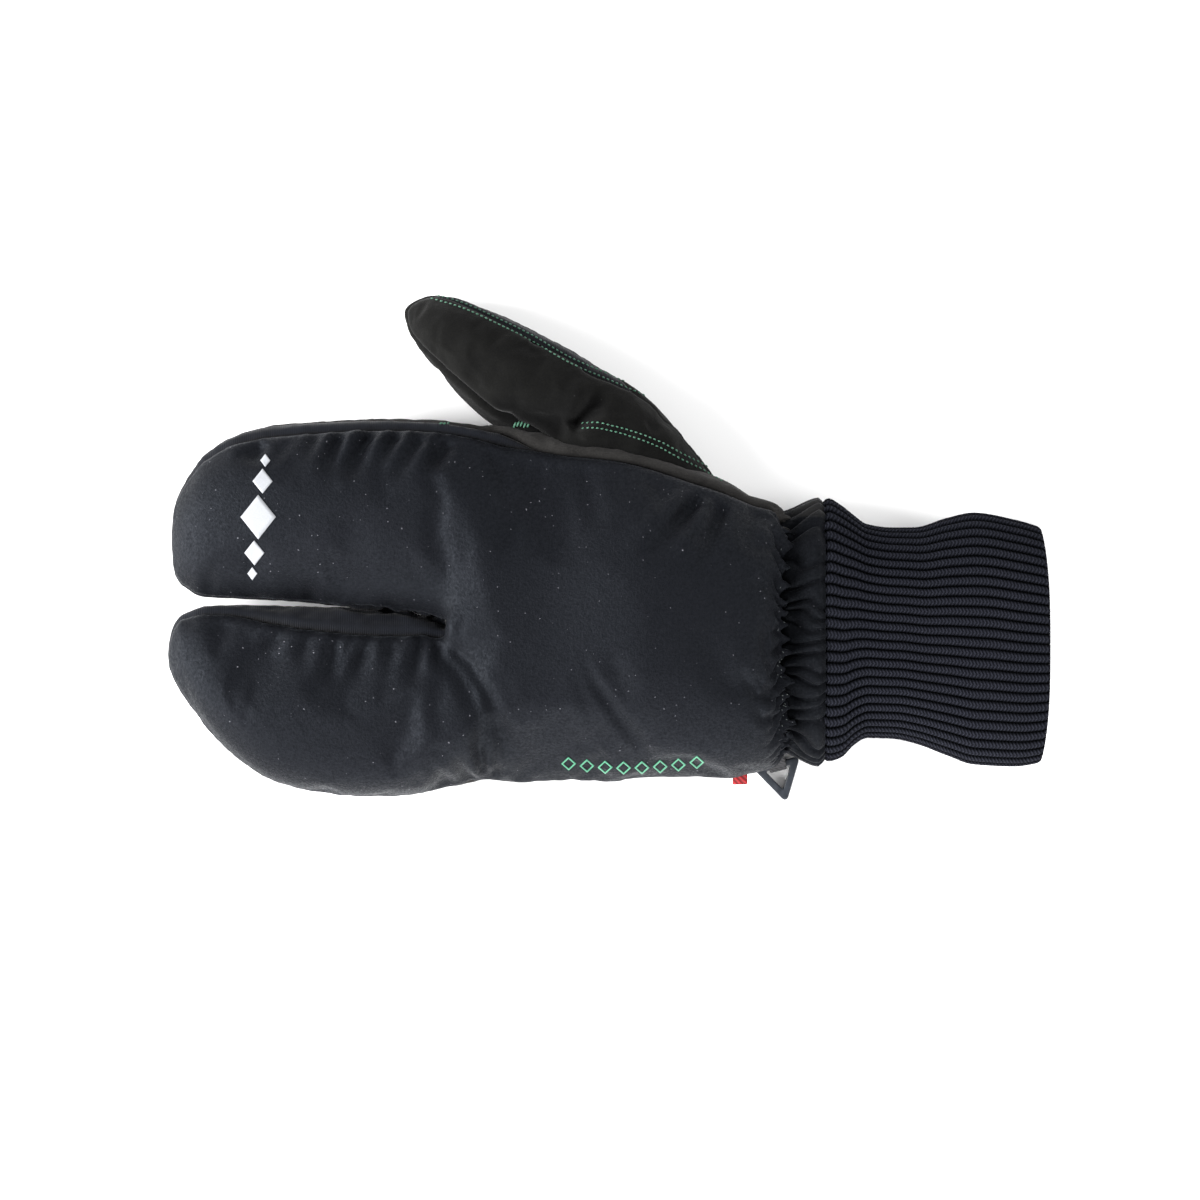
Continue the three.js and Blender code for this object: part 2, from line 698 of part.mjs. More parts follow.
// The ring lies tilted, its upper bar on the loop and its far corner on the ground. The loop
// stands against the hand's lower side, just before the elastic.
const ring = meshOf("triangle_ring", ringGeometry(), plastic);
ring.rotation.x = Math.atan2(barLift, ringRise);
ring.position.z = barLift;
const loop = meshOf("ring_loop", loopGeometry(), webbing);
const hanger = new THREE.Group();
hanger.add(ring, loop);
hanger.rotation.z = THREE.MathUtils.degToRad(ringTurn);
const loopX = elasticX - loopInset;
const wallBeside = (height) => lowerSideBeside(loopX, loopWidth, height) - seamGap;
const besideTurn = (loopWidth / 2) * Math.sin(hanger.rotation.z);
hanger.position.set(
  loopX,
  Math.min(wallBeside(eyeTop) - eyeHalf, wallBeside(eyeTop + loopRise) - loopStrap) - besideTurn,
  0,
);

const label = meshOf(
  "label_tab",
  new THREE.BoxGeometry(labelWidth, labelReach, labelThickness),
  redCloth,
);
const labelX = alongHand(labelStation);
const labelHeight = steady(backSeam, "ringOuter")(labelStation) * handThickness;
const labelWall = lowerSideBeside(labelX, labelWidth, labelHeight);
label.position.set(labelX, labelWall - seamGap - labelReach / 2, labelHeight);

const mitt = new THREE.Group();
mitt.add(
  meshOf("back_panel", geometryOf(backPanel), softshell),
  meshOf("palm_panel", geometryOf(palmPanel), suede),
  meshOf("finger_gusset", geometryOf(fingerGusset), stretchCloth),
  meshOf("thumb_back", geometryOf(thumbBack), suede),
  meshOf("thumb_strip", geometryOf(thumbSide), stretchCloth),
  meshOf("thumb_palm", geometryOf(thumbPalm), suede),
  meshOf("wrist_gather", geometryOf(wristGather), softshell),
  meshOf("knit_cuff", geometryOf(knitCuff), knit),
  hanger,
  label,
);

export default mitt;
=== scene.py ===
import math
import random

import bmesh
import bpy
import numpy as np
from mathutils import Matrix, Vector, noise
from mathutils.bvhtree import BVHTree
from mathutils.kdtree import KDTree


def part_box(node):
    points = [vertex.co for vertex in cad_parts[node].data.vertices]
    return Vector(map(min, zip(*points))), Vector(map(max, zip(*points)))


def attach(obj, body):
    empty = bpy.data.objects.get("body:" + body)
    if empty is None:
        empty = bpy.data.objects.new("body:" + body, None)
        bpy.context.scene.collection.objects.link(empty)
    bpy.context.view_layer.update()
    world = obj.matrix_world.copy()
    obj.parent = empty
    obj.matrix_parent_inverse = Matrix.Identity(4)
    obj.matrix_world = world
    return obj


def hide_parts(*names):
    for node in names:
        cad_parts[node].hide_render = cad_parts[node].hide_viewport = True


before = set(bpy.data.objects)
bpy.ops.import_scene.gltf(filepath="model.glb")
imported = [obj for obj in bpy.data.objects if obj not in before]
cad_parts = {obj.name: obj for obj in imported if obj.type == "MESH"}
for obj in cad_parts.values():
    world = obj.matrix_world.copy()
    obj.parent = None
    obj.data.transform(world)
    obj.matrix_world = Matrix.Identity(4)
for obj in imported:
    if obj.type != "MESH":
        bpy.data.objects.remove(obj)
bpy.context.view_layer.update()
print("frame loaded")

# The mitt lies palm down, fingers towards -X, thumb towards +Y, cuff towards +X.
mm = 0.001
mitt = {
    "lobeLength": 0.095,
    "palmLength": 0.116,
    "width": 0.122,
    "thickness": 0.048,
    "crotchX": -0.05545,
    "elasticX": 0.06055,
    "cuffX": 0.0716,
}

resting = 0.0002  # the lowest the cloth lies above the table

# Outlines as shares: along, upper and lower of the width, top and bottom of the thickness.
indexLobe = [
    (-0.991, 0.25, 0.15, 0.33, 0.21),
    (-0.985, 0.28, 0.12, 0.37, 0.18),
    (-0.972, 0.318, 0.092, 0.44, 0.12),
    (-0.94, 0.362, 0.066, 0.51, 0.07),
    (-0.89, 0.421, 0.047, 0.58, 0.03),
    (-0.83, 0.465, 0.036, 0.63, 0),
    (-0.74, 0.501, 0.03, 0.68, 0),
    (-0.6, 0.525, 0.026, 0.73, 0),
    (-0.42, 0.535, 0.018, 0.77, 0),
    (-0.24, 0.54, 0.002, 0.81, 0),
    (-0.06, 0.537, -0.024, 0.85, 0),
    (0.1, 0.522, -0.07, 0.87, 0),
    (0.26, 0.47, -0.06, 0.84, 0),
]
ringLobe = [
    (-1.004, -0.108, -0.145, 0.33, 0.22),
    (-1, -0.088, -0.165, 0.36, 0.19),
    (-0.985, -0.05, -0.196, 0.43, 0.13),
    (-0.954, -0.018, -0.238, 0.5, 0.08),
    (-0.9, 0.001, -0.297, 0.57, 0.03),
    (-0.846, 0.009, -0.351, 0.62, 0),
    (-0.74, 0.013, -0.429, 0.67, 0),
    (-0.632, 0.01, -0.482, 0.71, 0),
    (-0.525, 0.004, -0.507, 0.74, 0),
    (-0.364, -0.006, -0.526, 0.77, 0),
    (-0.22, -0.014, -0.529, 0.8, 0),
    (-0.06, -0.042, -0.515, 0.84, 0),
    (0.1, -0.046, -0.482, 0.86, 0),
    (0.26, -0.056, -0.44, 0.83, 0),
]
handOutline = [
    (0, 0.2, -0.28, 0.82, 0.04),
    (0.025, 0.4, -0.4, 0.86, 0),
    (0.07, 0.505, -0.466, 0.875, 0),
    (0.13, 0.526, -0.484, 0.88, 0),
    (0.22, 0.524, -0.493, 0.89, 0),
    (0.36, 0.5, -0.484, 0.93, 0),
    (0.48, 0.482, -0.488, 0.97, 0),
    (0.6, 0.446, -0.474, 1, 0),
    (0.72, 0.402, -0.474, 0.99, 0),
    (0.82, 0.366, -0.477, 0.97, 0),
    (0.9, 0.325, -0.462, 0.94, 0),
    (0.96, 0.31, -0.447, 0.88, 0),
    (1, 0.3, -0.432, 0.77, 0),
    (1.04, 0.3, -0.43, 0.72, 0),
]
thumbOutline = [
    (0.012, 0.02, -0.02, 0.38, 0.3),
    (0.02, 0.05, -0.05, 0.42, 0.26),
    (0.035, 0.125, -0.085, 0.5, 0.18),
    (0.065, 0.205, -0.13, 0.6, 0.1),
    (0.11, 0.285, -0.195, 0.71, 0.03),
    (0.2, 0.355, -0.265, 0.82, 0),
    (0.32, 0.4, -0.325, 0.91, 0),
    (0.48, 0.455, -0.4, 0.97, 0),
    (0.65, 0.49, -0.45, 1, 0),
    (0.83, 0.52, -0.47, 1, 0),
    (1, 0.53, -0.46, 1, 0),
    (1.18, 0.54, -0.44, 0.99, 0),
    (1.36, 0.5, -0.42, 0.95, 0),
    (1.57, 0.39, -0.4, 0.88, 0),
    (1.78, 0.26, -0.36, 0.77, 0),
    (1.95, 0.08, -0.32, 0.66, 0),
]

# Heights of the seams as shares of the thickness: along, outer and slit side of the index
# lobe, slit and outer side of the ring lobe.
backSeam = [
    (-1.1, 0.27, 0.27, 0.27, 0.27),
    (-0.97, 0.31, 0.28, 0.33, 0.27),
    (-0.88, 0.4, 0.29, 0.4, 0.27),
    (-0.74, 0.48, 0.31, 0.48, 0.27),
    (-0.61, 0.52, 0.32, 0.58, 0.27),
    (-0.5, 0.54, 0.33, 0.63, 0.27),
    (-0.24, 0.57, 0.35, 0.68, 0.28),
    (-0.02, 0.6, 0.44, 0.66, 0.3),
    (0.06, 0.62, 0.5, 0.5, 0.32),
    (0.22, 0.67, 0.5, 0.5, 0.32),
    (0.36, 0.71, 0.5, 0.5, 0.32),
    (0.6, 0.74, 0.5, 0.5, 0.32),
    (0.8, 0.72, 0.5, 0.5, 0.32),
    (0.94, 0.62, 0.5, 0.5, 0.3),
    (1.1, 0.54, 0.5, 0.5, 0.3),
]
gussetSeam = [
    (-1.1, 0.19, 0.19, 0.19, 0.19),
    (-0.97, 0.19, 0.18, 0.18, 0.18),
    (-0.88, 0.22, 0.16, 0.16, 0.13),
    (-0.74, 0.29, 0.16, 0.16, 0.12),
    (-0.52, 0.36, 0.16, 0.16, 0.12),
    (-0.24, 0.41, 0.16, 0.16, 0.12),
    (0, 0.46, 0.16, 0.16, 0.12),
    (0.28, 0.6, 0.16, 0.16, 0.12),
]
slitLine = [(-1.1, 0.02), (-0.74, 0.021), (-0.47, 0.013), (-0.24, 0.001), (-0.07, -0.016), (0, -0.042)]
# where each lobe's edge lies beside the slit, in mm: along, index lobe, ring lobe
slitEdges = [
    (-144, 7, -0.8),
    (-141, 5, 0.4),
    (-138, 4.5, 1.1),
    (-130, 4.1, 1.5),
    (-119, 3.7, 1.4),
    (-108, 3.1, 1.1),
    (-100, 2.4, 0.9),
    (-93, 1.5, 0.8),
    (-88, 0.95, 0.75),
    (-80, 0.5, 0.3),
    (-74, 0.1, -0.1),
    (-66, -0.8, -1),
    (-61, -2, -2.2),
]
# the thumb's: along, inner and outer side of its back, lower edge of the strip
thumbSeams = [
    (-0.2, 0.34, 0.36, 0.3),
    (0.05, 0.42, 0.42, 0.34),
    (0.3, 0.66, 0.62, 0.4),
    (0.6, 0.78, 0.74, 0.46),
    (1, 0.82, 0.72, 0.46),
    (1.3, 0.82, 0.55, 0.42),
    (1.6, 0.82, 0.4, 0.3),
    (2, 0.82, 0.3, 0.2),
]


def alongHand(place):
    return mitt["crotchX"] + place * (mitt["lobeLength"] if place < 0 else mitt["palmLength"])


def smoothTable(table, count=300):
    # a fine table through the same rows, without overshoot
    rough = np.array(table, float)
    places = rough[:, 0]
    gaps = np.diff(places)
    fine = np.linspace(places[0], places[-1], count)
    at = np.clip(np.searchsorted(places, fine) - 1, 0, len(places) - 2)
    t = (fine - places[at]) / gaps[at]
    columns = [fine]
    for column in rough.T[1:]:
        rates = np.diff(column) / gaps
        inner = np.where(
            rates[1:] * rates[:-1] > 0,
            2 * rates[1:] * rates[:-1] / np.where(rates[1:] + rates[:-1] == 0, 1, rates[1:] + rates[:-1]),
            0,
        )
        slope = np.concatenate([rates[:1], inner, rates[-1:]])
        start, end = column[at], column[at + 1]
        rise = gaps[at]
        columns.append(
            start * (2 * t**3 - 3 * t**2 + 1)
            + slope[at] * rise * (t**3 - 2 * t**2 + t)
            + end * (3 * t**2 - 2 * t**3)
            + slope[at + 1] * rise * (t**3 - t**2)
        )
    return np.array(columns).T


def read(fine, column, place):
    return np.interp(place, fine[:, 0], fine[:, column])


def rowAt(fine, place):
    return [place] + [float(read(fine, column, place)) for column in range(1, 5)]


def smoothStep(value, low, high):
    t = np.clip((value - low) / (high - low), 0, 1)
    return t * t * (3 - 2 * t)


def bell(value, middle, breadth):
    return np.exp(-(((value - middle) / breadth) ** 2))


def outlineRing(row, width, thickness, grow, count):
    # points of one cross-section: across and up
    upper, lower, top, bottom = row[1] * width, row[2] * width, row[3] * thickness, row[4] * thickness
    widest = bottom + 0.42 * (top - bottom)
    middle = (upper + lower) / 2
    half = max((upper - lower) / 2 + grow, 0.0004)
    rise = max(top - widest + grow, 0.0003)
    drop = max((widest - bottom) * (1 if bottom > 0 else 1.12) + grow, 0.0003)
    floor = 0 if bottom > 0 else -grow
    ring = []
    for i in range(count):
        angle = 2 * math.pi * i / count
        c, s = math.cos(angle), math.sin(angle)
        power = 2 / (2.3 if s > 0 else 3)
        across = middle + half * math.copysign(abs(c) ** power, c)
        up = widest + (rise if s > 0 else drop) * math.copysign(abs(s) ** power, s)
        ring.append((across, max(up, floor)))
    return ring


def pulledOut(bm, edges):
    # extrudes the edges; gives the new vertices, and the edges between them
    parts = bmesh.ops.extrude_edge_only(bm, edges=edges)["geom"]
    verts = [part for part in parts if isinstance(part, bmesh.types.BMVert)]
    fresh = set(verts)
    edges = [part for part in parts if isinstance(part, bmesh.types.BMEdge)]
    return verts, [edge for edge in edges if fresh.issuperset(edge.verts)]


def tubeThrough(bm, rings, joinUp=False):
    # a circle placed on the first ring and pulled out through the others; it is closed at
    # both ends, or joined end to start
    order = bm.verts.layers.int.get("order") or bm.verts.layers.int.new("order")
    made = bmesh.ops.create_circle(bm, cap_ends=not joinUp, segments=len(rings[0]), radius=0.01)
    for i, vert in enumerate(made["verts"]):
        vert[order] = i
        vert.co = rings[0][i]
    started = set(made["verts"])
    first = [edge for edge in bm.edges if started.issuperset(edge.verts)]
    edges = first
    for ring in rings[1:]:
        verts, edges = pulledOut(bm, edges)
        for vert in verts:
            vert.co = ring[vert[order]]
    if joinUp:
        bmesh.ops.bridge_loops(bm, edges=first + edges)
    else:
        bmesh.ops.contextual_create(bm, geom=edges)


def pieceFrom(bm, name, outward=True):
    if outward:
        bmesh.ops.recalc_face_normals(bm, faces=bm.faces)
    mesh = bpy.data.meshes.new(name)
    bm.to_mesh(mesh)
    bm.free()
    mesh.shade_smooth()
    piece = bpy.data.objects.new(name, mesh)
    bpy.context.collection.objects.link(piece)
    return piece


def settle(piece):
    # what the modifiers show becomes the mesh itself
    graph = bpy.context.evaluated_depsgraph_get()
    shown = bpy.data.meshes.new_from_object(piece.evaluated_get(graph))
    piece.modifiers.clear()
    piece.data = shown
    shown.shade_smooth()


def readAll(parts, key):
    flat = np.empty(len(parts) * 3)
    parts.foreach_get(key, flat)
    return flat.reshape(-1, 3)


def pointsOf(piece):
    return readAll(piece.data.vertices, "co")


def normalsOf(piece):
    return readAll(piece.data.vertex_normals, "vector")


def placesIn(bm):
    return np.array([vert.co[:] for vert in bm.verts])


def movePoints(piece, points):
    points[:, 2] = np.maximum(points[:, 2], resting)
    piece.data.vertices.foreach_set("co", points.ravel())
    piece.data.update()


def weighted(piece, name, weights):
    group = piece.vertex_groups.new(name=name)
    for i in np.nonzero(weights > 0.01)[0]:
        group.add([int(i)], float(weights[i]), "REPLACE")


def smoother(piece, rounds):
    ease = piece.modifiers.new("ease", "SMOOTH")
    ease.factor = 0.5
    ease.iterations = rounds
    return ease


def eased(piece, weights, rounds):
    # the points are smoothed, each by its weight
    weighted(piece, "eased", weights)
    smoother(piece, rounds).vertex_group = "eased"
    settle(piece)
    piece.vertex_groups.clear()


def remeshed(piece, voxel):
    made = piece.modifiers.new("skin", "REMESH")
    made.mode = "VOXEL"
    made.voxel_size = voxel
    smoother(piece, 3)
    settle(piece)


def puffed(piece, held, air):
    # the fabric is blown up a little while its seams are held
    before = pointsOf(piece)
    weighted(piece, "held", held)
    cloth = piece.modifiers.new("air", "CLOTH")
    fabric = cloth.settings
    fabric.quality = 6
    fabric.mass = 0.25
    fabric.tension_stiffness = air["stretch"]
    fabric.compression_stiffness = air["stretch"]
    fabric.shear_stiffness = air["shear"]
    fabric.bending_stiffness = air["bending"]
    fabric.air_damping = 1.5
    fabric.vertex_group_mass = "held"
    fabric.pin_stiffness = 1
    fabric.shrink_min = air["shrink"]
    fabric.use_pressure = True
    fabric.uniform_pressure_force = air["pressure"]
    fabric.effector_weights.gravity = 0
    cloth.point_cache.frame_start = 1
    cloth.point_cache.frame_end = air["frames"]
    for step in range(1, air["frames"] + 1):
        bpy.context.scene.frame_set(step)
    settle(piece)
    bpy.context.scene.frame_set(1)
    moved = pointsOf(piece) - before
    far = np.linalg.norm(moved, axis=1)
    print(piece.name, "puffed by up to", round(float(far.max()) / mm, 2), "mm")
    moved *= (np.minimum(far, air["cap"]) / np.maximum(far, 1e-9))[:, None]
    movePoints(piece, before + moved)
    piece.vertex_groups.clear()


def subdivided(piece):
    made = piece.modifiers.new("finer", "SUBSURF")
    made.levels = 1
    made.render_levels = 1


def thickened(piece, thickness, offset=-1):
    made = piece.modifiers.new("wall", "SOLIDIFY")
    made.thickness = thickness
    made.offset = offset


def foldedAlong(points, folds):
    # how far each point is pressed in by creases, and lifted by the ridges beside them;
    # a crease is a line of places in mm, its breadth, its depth, how much its right side
    # stands up, and how early it dies away
    pressed = np.zeros(len(points))
    flat = points[:, :2] / mm
    for line, breadth, depth, lift, fade in folds:
        path = np.array(line, float)
        lengths = np.linalg.norm(np.diff(path, axis=0), axis=1)
        total = lengths.sum()
        nearest = np.full(len(flat), 1e9)
        place = np.zeros(len(flat))
        side = np.zeros(len(flat))
        run = 0
        for a, b, length in zip(path[:-1], path[1:], lengths):
            along = (b - a) / length
            off = flat - a
            t = np.clip(off @ along, 0, length)
            gap = off - t[:, None] * along
            far = np.linalg.norm(gap, axis=1)
            closer = far < nearest
            nearest = np.where(closer, far, nearest)
            place = np.where(closer, (run + t) / total, place)
            side = np.where(closer, np.sign(along[0] * off[:, 1] - along[1] * off[:, 0]), side)
            run += length
        grows = smoothStep(place, -0.02, 0.12) if fade > 0 else smoothStep(place, 0, 0.4)
        strength = grows * (1 - smoothStep(place, abs(fade), 1.0))
        widen = breadth * (1 + 0.7 * place)
        far = nearest / widen
        valley = np.exp(-(far**2))
        ridge = np.exp(-((far - 1.9) ** 2) / 1.1)
        right = np.where(side < 0, lift, 0.25 * lift)
        pressed += depth * strength * (valley - right * ridge) * mm
    return pressed


def heldBy(seams, at, reach, floor):
    # how firmly each place is held: along its seams, and where it lies on the table
    upper, low, isOpen = seams(at)
    z = at[:, 2]
    bySeams = np.maximum(bell(z, upper, reach), bell(z, low, reach) * (isOpen > 0.05))
    return np.maximum(bySeams, 0.9 * (z < floor))


def cutAlong(bm, level):
    # the mesh gets an edge loop wherever level, one value per vertex, crosses zero
    bm.verts.index_update()
    value = {vert: float(level[vert.index]) for vert in bm.verts}
    onSeam = set()
    for edge in list(bm.edges):
        a, b = edge.verts
        if value[a] * value[b] >= 0:
            continue
        t = value[a] / (value[a] - value[b])
        near, share = (a, t) if t < 0.5 else (b, 1 - t)
        if share < 0.16:
            near.co = a.co.lerp(b.co, t)
            value[near] = 0
            onSeam.add(near)
    for edge in [e for e in bm.edges if value[e.verts[0]] * value[e.verts[1]] < 0]:
        a, b = edge.verts
        t = value[a] / (value[a] - value[b])
        made = bmesh.utils.edge_split(edge, a, t)[1]
        value[made] = 0
        onSeam.add(made)
    bmesh.ops.connect_verts(bm, verts=list(onSeam), check_degenerate=True)
    return {face: sum(value[vert] for vert in face.verts) > 0 for face in bm.faces}


def cutIntoPanels(bm, part, seams):
    # 0 above the upper seam, 1 below it, 2 between the seams; seams gives, for many places,
    # the upper seam's height, the lower one's, and how far the strip between them is open
    at = placesIn(bm)
    for face, above in cutAlong(bm, at[:, 2] - seams(at)[0]).items():
        face[part] = 0 if above else 1
    at = placesIn(bm)
    _, low, isOpen = seams(at)
    for face, above in cutAlong(bm, np.where(isOpen > 0.01, at[:, 2] - low, -0.001)).items():
        if above and face[part] == 1 and seams(np.array([face.calc_center_median()[:]]))[2][0] > 0.01:
            face[part] = 2


def sinkSeams(bm, part, creaseShade, sewing):
    # the cloth dips into each seam and swells and ripples beside it; painted shade is stored for the seam's
    # groove, on top of the painted crease shade that is given
    seam = [vert for vert in bm.verts if len({face[part] for face in vert.link_faces}) > 1]
    tree = KDTree(len(seam))
    for i, vert in enumerate(seam):
        tree.insert(vert.co, i)
    tree.balance()
    bm.normal_update()
    paintedShade = bm.verts.layers.float["paintedShade"]
    swell, swellAt, swellWide = sewing["swell"]
    moves = []
    for vert, dark in zip(bm.verts, creaseShade):
        vert[paintedShade] = float(dark)
        found, _, far = tree.find(vert.co)
        if far > sewing["reach"]:
            continue
        off = far / mm
        # painted shade in the seam's groove
        vert[paintedShade] = max(vert[paintedShade], math.exp(-((off / sewing["dark"]) ** 2)))
        depth = sewing["depth"] * math.exp(-((off / sewing["breadth"]) ** 2))
        depth -= swell * math.exp(-((off - swellAt) ** 2) / swellWide)
        ripple = sum(noise.noise(found * scale) * share for scale, share in sewing["ripples"])
        ripple *= sewing["calm"] if found.y < 0.012 or found.x > 0 else sewing["lively"]
        depth += ripple * math.exp(-off / sewing["fade"]) * min(1, off / 1.2)
        moves.append((vert, vert.normal.copy(), depth * mm))
    for vert, normal, depth in moves:
        vert.co -= normal * depth
        vert.co.z = max(vert.co.z, resting)


# Heights of the hand's seams, for many points at once.
fineBack = smoothTable(backSeam)
fineGusset = smoothTable(gussetSeam)
fineSlit = smoothTable(slitLine)


def placeAlong(x):
    off = x - mitt["crotchX"]
    return np.where(off < 0, off / mitt["lobeLength"], off / mitt["palmLength"])


def seamHeight(fine, x, y):
    p = placeAlong(x)
    slit = read(fineSlit, 1, p) * mitt["width"]
    reach = 0.53 * mitt["width"]
    upperSide = np.clip((y - slit) / (reach - slit), 0, 1)
    lowerSide = np.clip((slit - y) / (slit + reach), 0, 1)
    index = read(fine, 2, p) + (read(fine, 1, p) - read(fine, 2, p)) * upperSide
    ring = read(fine, 3, p) + (read(fine, 4, p) - read(fine, 3, p)) * lowerSide
    return np.where(y > slit, index, ring) * mitt["thickness"]


def handSeams(at):
    # the gusset runs out to a point beside each lobe
    x, y = at[:, 0], at[:, 1]
    p = placeAlong(x)
    slit = read(fineSlit, 1, p) * mitt["width"]
    end = np.where(y > slit, 0.28, 0.05)
    upper = seamHeight(fineBack, x, y)
    lower = seamHeight(fineGusset, x, y)
    isOpen = 1 - smoothStep(p, end - 0.16, end)
    return upper, upper - (upper - lower) * isOpen, isOpen


# ---- the hand
hand = {
    "start": -1.1,  # mm, how far inside its final shape the fabric starts
    "voxel": 2.0,
    "points": 72,
    "spacing": 0.004,
    "apart": 0.013,
    "air": {
        "stretch": 8,
        "shear": 4,
        "bending": 1.2,
        "shrink": -0.012,
        "pressure": 3.2,
        "frames": 18,
        "cap": 0.0026,
    },
    "sewing": {
        "reach": 0.016,
        # mm, how far the painted shade reaches from a seam
        "dark": 0.75,
        "depth": 1.5,
        "breadth": 1.35,
        "swell": (0.3, 3.6, 3),
        "ripples": ((190, 0.5), (420, 0.35)),
        "calm": 0.2,  # beside the slit and at the wrist
        "lively": 0.75,
        "fade": 4.5,
    },
    "wall": 2.2,
    "edge": 0.0603,
    "teeth": 38,
    "toothReach": 7.4,  # mm, from the hollow of a tooth to its tip
    "toothRoot": 0.42,  # the share of that which lies before the edge
    "dip": 1.4,  # mm, before the palm
    "lean": 0.0013,
    "bulge": 0.0018,
}


def lobeRings(table, apart=0.0):
    # the two lobes start a little apart, and swell towards each other
    fine = smoothTable(table)
    spacing = hand["spacing"]
    start, end = alongHand(table[0][0]), alongHand(table[-1][0])
    steps = int((end - start) / spacing)
    evenly = placeAlong(np.linspace(alongHand(table[4][0]) + spacing * 0.7, end, steps))
    rings = []
    for place in [row[0] for row in table[:5]] + list(evenly):
        row = rowAt(fine, place)
        if place < -0.1:
            row[2 if apart > 0 else 1] += apart * min(1, (-0.1 - place) / 0.2)
        x = alongHand(place)
        ring = outlineRing(row, mitt["width"], mitt["thickness"], hand["start"] * mm, hand["points"])
        rings.append([Vector((x, across, up)) for across, up in ring])
    return rings


bm = bmesh.new()
tubeThrough(bm, lobeRings(handOutline))
tubeThrough(bm, lobeRings(indexLobe, hand["apart"]))
tubeThrough(bm, lobeRings(ringLobe, -hand["apart"]))
handSkin = pieceFrom(bm, "handSkin")
remeshed(handSkin, hand["voxel"] * mm)
# the back runs on smoothly from the lobes
x, y, z = pointsOf(handSkin).T
beyond = smoothStep(x, -0.064, -0.055) * (1 - smoothStep(x, -0.012, 0.002))
beyond = beyond * smoothStep(z - seamHeight(fineBack, x, y), 0.002, 0.008)
beyond = beyond * smoothStep(np.hypot(x + 0.0575, y + 0.006), 0.004, 0.009)
eased(handSkin, beyond, 140)
points = pointsOf(handSkin)
held = heldBy(handSeams, points, 0.0022, 0.0016)
held = np.maximum(held, smoothStep(points[:, 0], 0.052, 0.059))
puffed(handSkin, held, hand["air"])
subdivided(handSkin)
settle(handSkin)
print("hand blown up:", len(handSkin.data.vertices), "points")

# creases in the back, each from where it is sharpest
backFolds = [
    # from the thumb's side of the wrist
    ([(31, 38), (25, 32), (19, 26), (10, 15)], 2.3, 2.3, 0.5, 0.35),
    ([(38.5, 36), (36, 30), (32, 20), (30, 12)], 2.4, 2.2, 0.45, 0.3),
    ([(47, 37), (50, 31), (52, 26)], 1.8, 0.9, 0.5, 0.3),
    # from the crotch across the ring side
    ([(-56, -11), (-48, -18), (-41, -29), (-36.5, -41), (-34, -52)], 2.2, 2.4, -0.75, 0.75),
    ([(-43, -56), (-44, -49), (-45, -40)], 1.6, 1.9, 0.6, 0.35),
    ([(-38, -57), (-39.5, -50), (-39.5, -43)], 1.5, 1.6, -0.4, 0.35),
    ([(-46, -59), (-50, -55), (-54, -50)], 1.7, 1.7, 0.5, 0.35),
    ([(-54, -60), (-58, -56), (-63, -53)], 1.8, 0.8, 0.4, 0.3),
    ([(-10, -15), (-4, -27), (5, -40), (14, -51)], 2.1, 2.0, -0.4, -0.8),
    ([(-1, -12), (3, -24), (10, -33)], 3.2, 0.8, 0.4, -0.7),
    # round the elastic
    ([(58, -30), (50, -29), (46, -24), (44.5, -17)], 1.4, 2.0, -0.7, 0.5),
    ([(57.5, -24), (53.5, -17), (52.5, -10), (54, -3)], 1.3, 1.5, -0.6, 0.6),
    ([(58, -36), (52, -37), (49.5, -34), (48.5, -30)], 1.3, 1.3, 0.5, 0.4),
    ([(58, 8), (51, 9), (45, 6)], 1.8, 0.8, 0.4, 0.4),
    ([(58, 22), (51, 21), (44, 24)], 2.0, 0.9, 0.4, 0.4),
    ([(44, -30), (38, -22), (34, -12), (33, 0)], 4.0, 0.8, 0.5, 0.4),
    # index lobe, from its outer seam
    ([(-90, 60), (-94, 52), (-97, 42)], 1.9, 2.1, 0.7, 0.3),
    ([(-80, 61), (-85, 53), (-91, 44)], 2.1, 2.7, 0.8, 0.35),
    ([(-71, 60), (-76, 53), (-83, 45)], 1.9, 2.1, 0.7, 0.3),
    ([(-63, 59), (-69, 51), (-76, 42)], 2.0, 2.0, 0.7, 0.3),
    ([(-54, 58), (-60, 50), (-67, 41)], 2.2, 1.7, 0.7, 0.3),
    ([(-99, 60), (-101, 54), (-102, 50)], 1.6, 1.0, 0.5, 0.3),
    ([(-118, 58), (-121, 53), (-122.5, 48)], 2.6, 2.6, 0.35, 0.45),
    ([(-88, 36), (-87, 22), (-90, 8)], 4.4, 0.6, 0.5, -0.8),
    ([(-101, 3), (-103, 9), (-106, 14)], 2.4, 0.8, 0.4, 0.3),
    # ring lobe, from the slit's seam
    ([(-110, -6), (-114, -11), (-119, -16)], 1.8, 1.9, 0.7, 0.35),
    ([(-101, -8), (-104, -14), (-106, -20)], 1.5, 1.5, 0.6, 0.35),
    ([(-92, -9), (-94, -17), (-97, -27)], 1.7, 2.0, 0.7, 0.35),
    ([(-86, -10), (-90, -17), (-95, -24)], 1.4, 1.2, 0.5, 0.3),
    ([(-81, -10), (-85, -18), (-88, -26)], 1.6, 1.6, 0.6, 0.3),
    ([(-73, -10), (-75, -17), (-76, -22)], 1.5, 1.3, 0.5, 0.3),
    ([(-63, -11), (-66, -20), (-70, -28)], 1.9, 1.9, 0.6, 0.35),
    ([(-58.5, -12), (-58.5, -18), (-58, -23)], 1.5, 1.5, 0.5, 0.3),
]
# puckers at the slit's end
endFolds = [
    ([(-68, 0), (-66, -3.5), (-64, -7)], 1.3, 1.0, 0.5, 0.7),
    ([(-64, -1), (-61.5, -5), (-59.5, -9)], 1.3, 1.1, -0.5, 0.7),
    ([(-60, -2), (-57.5, -5.5), (-56, -9)], 1.3, 0.7, 0.4, 0.7),
]

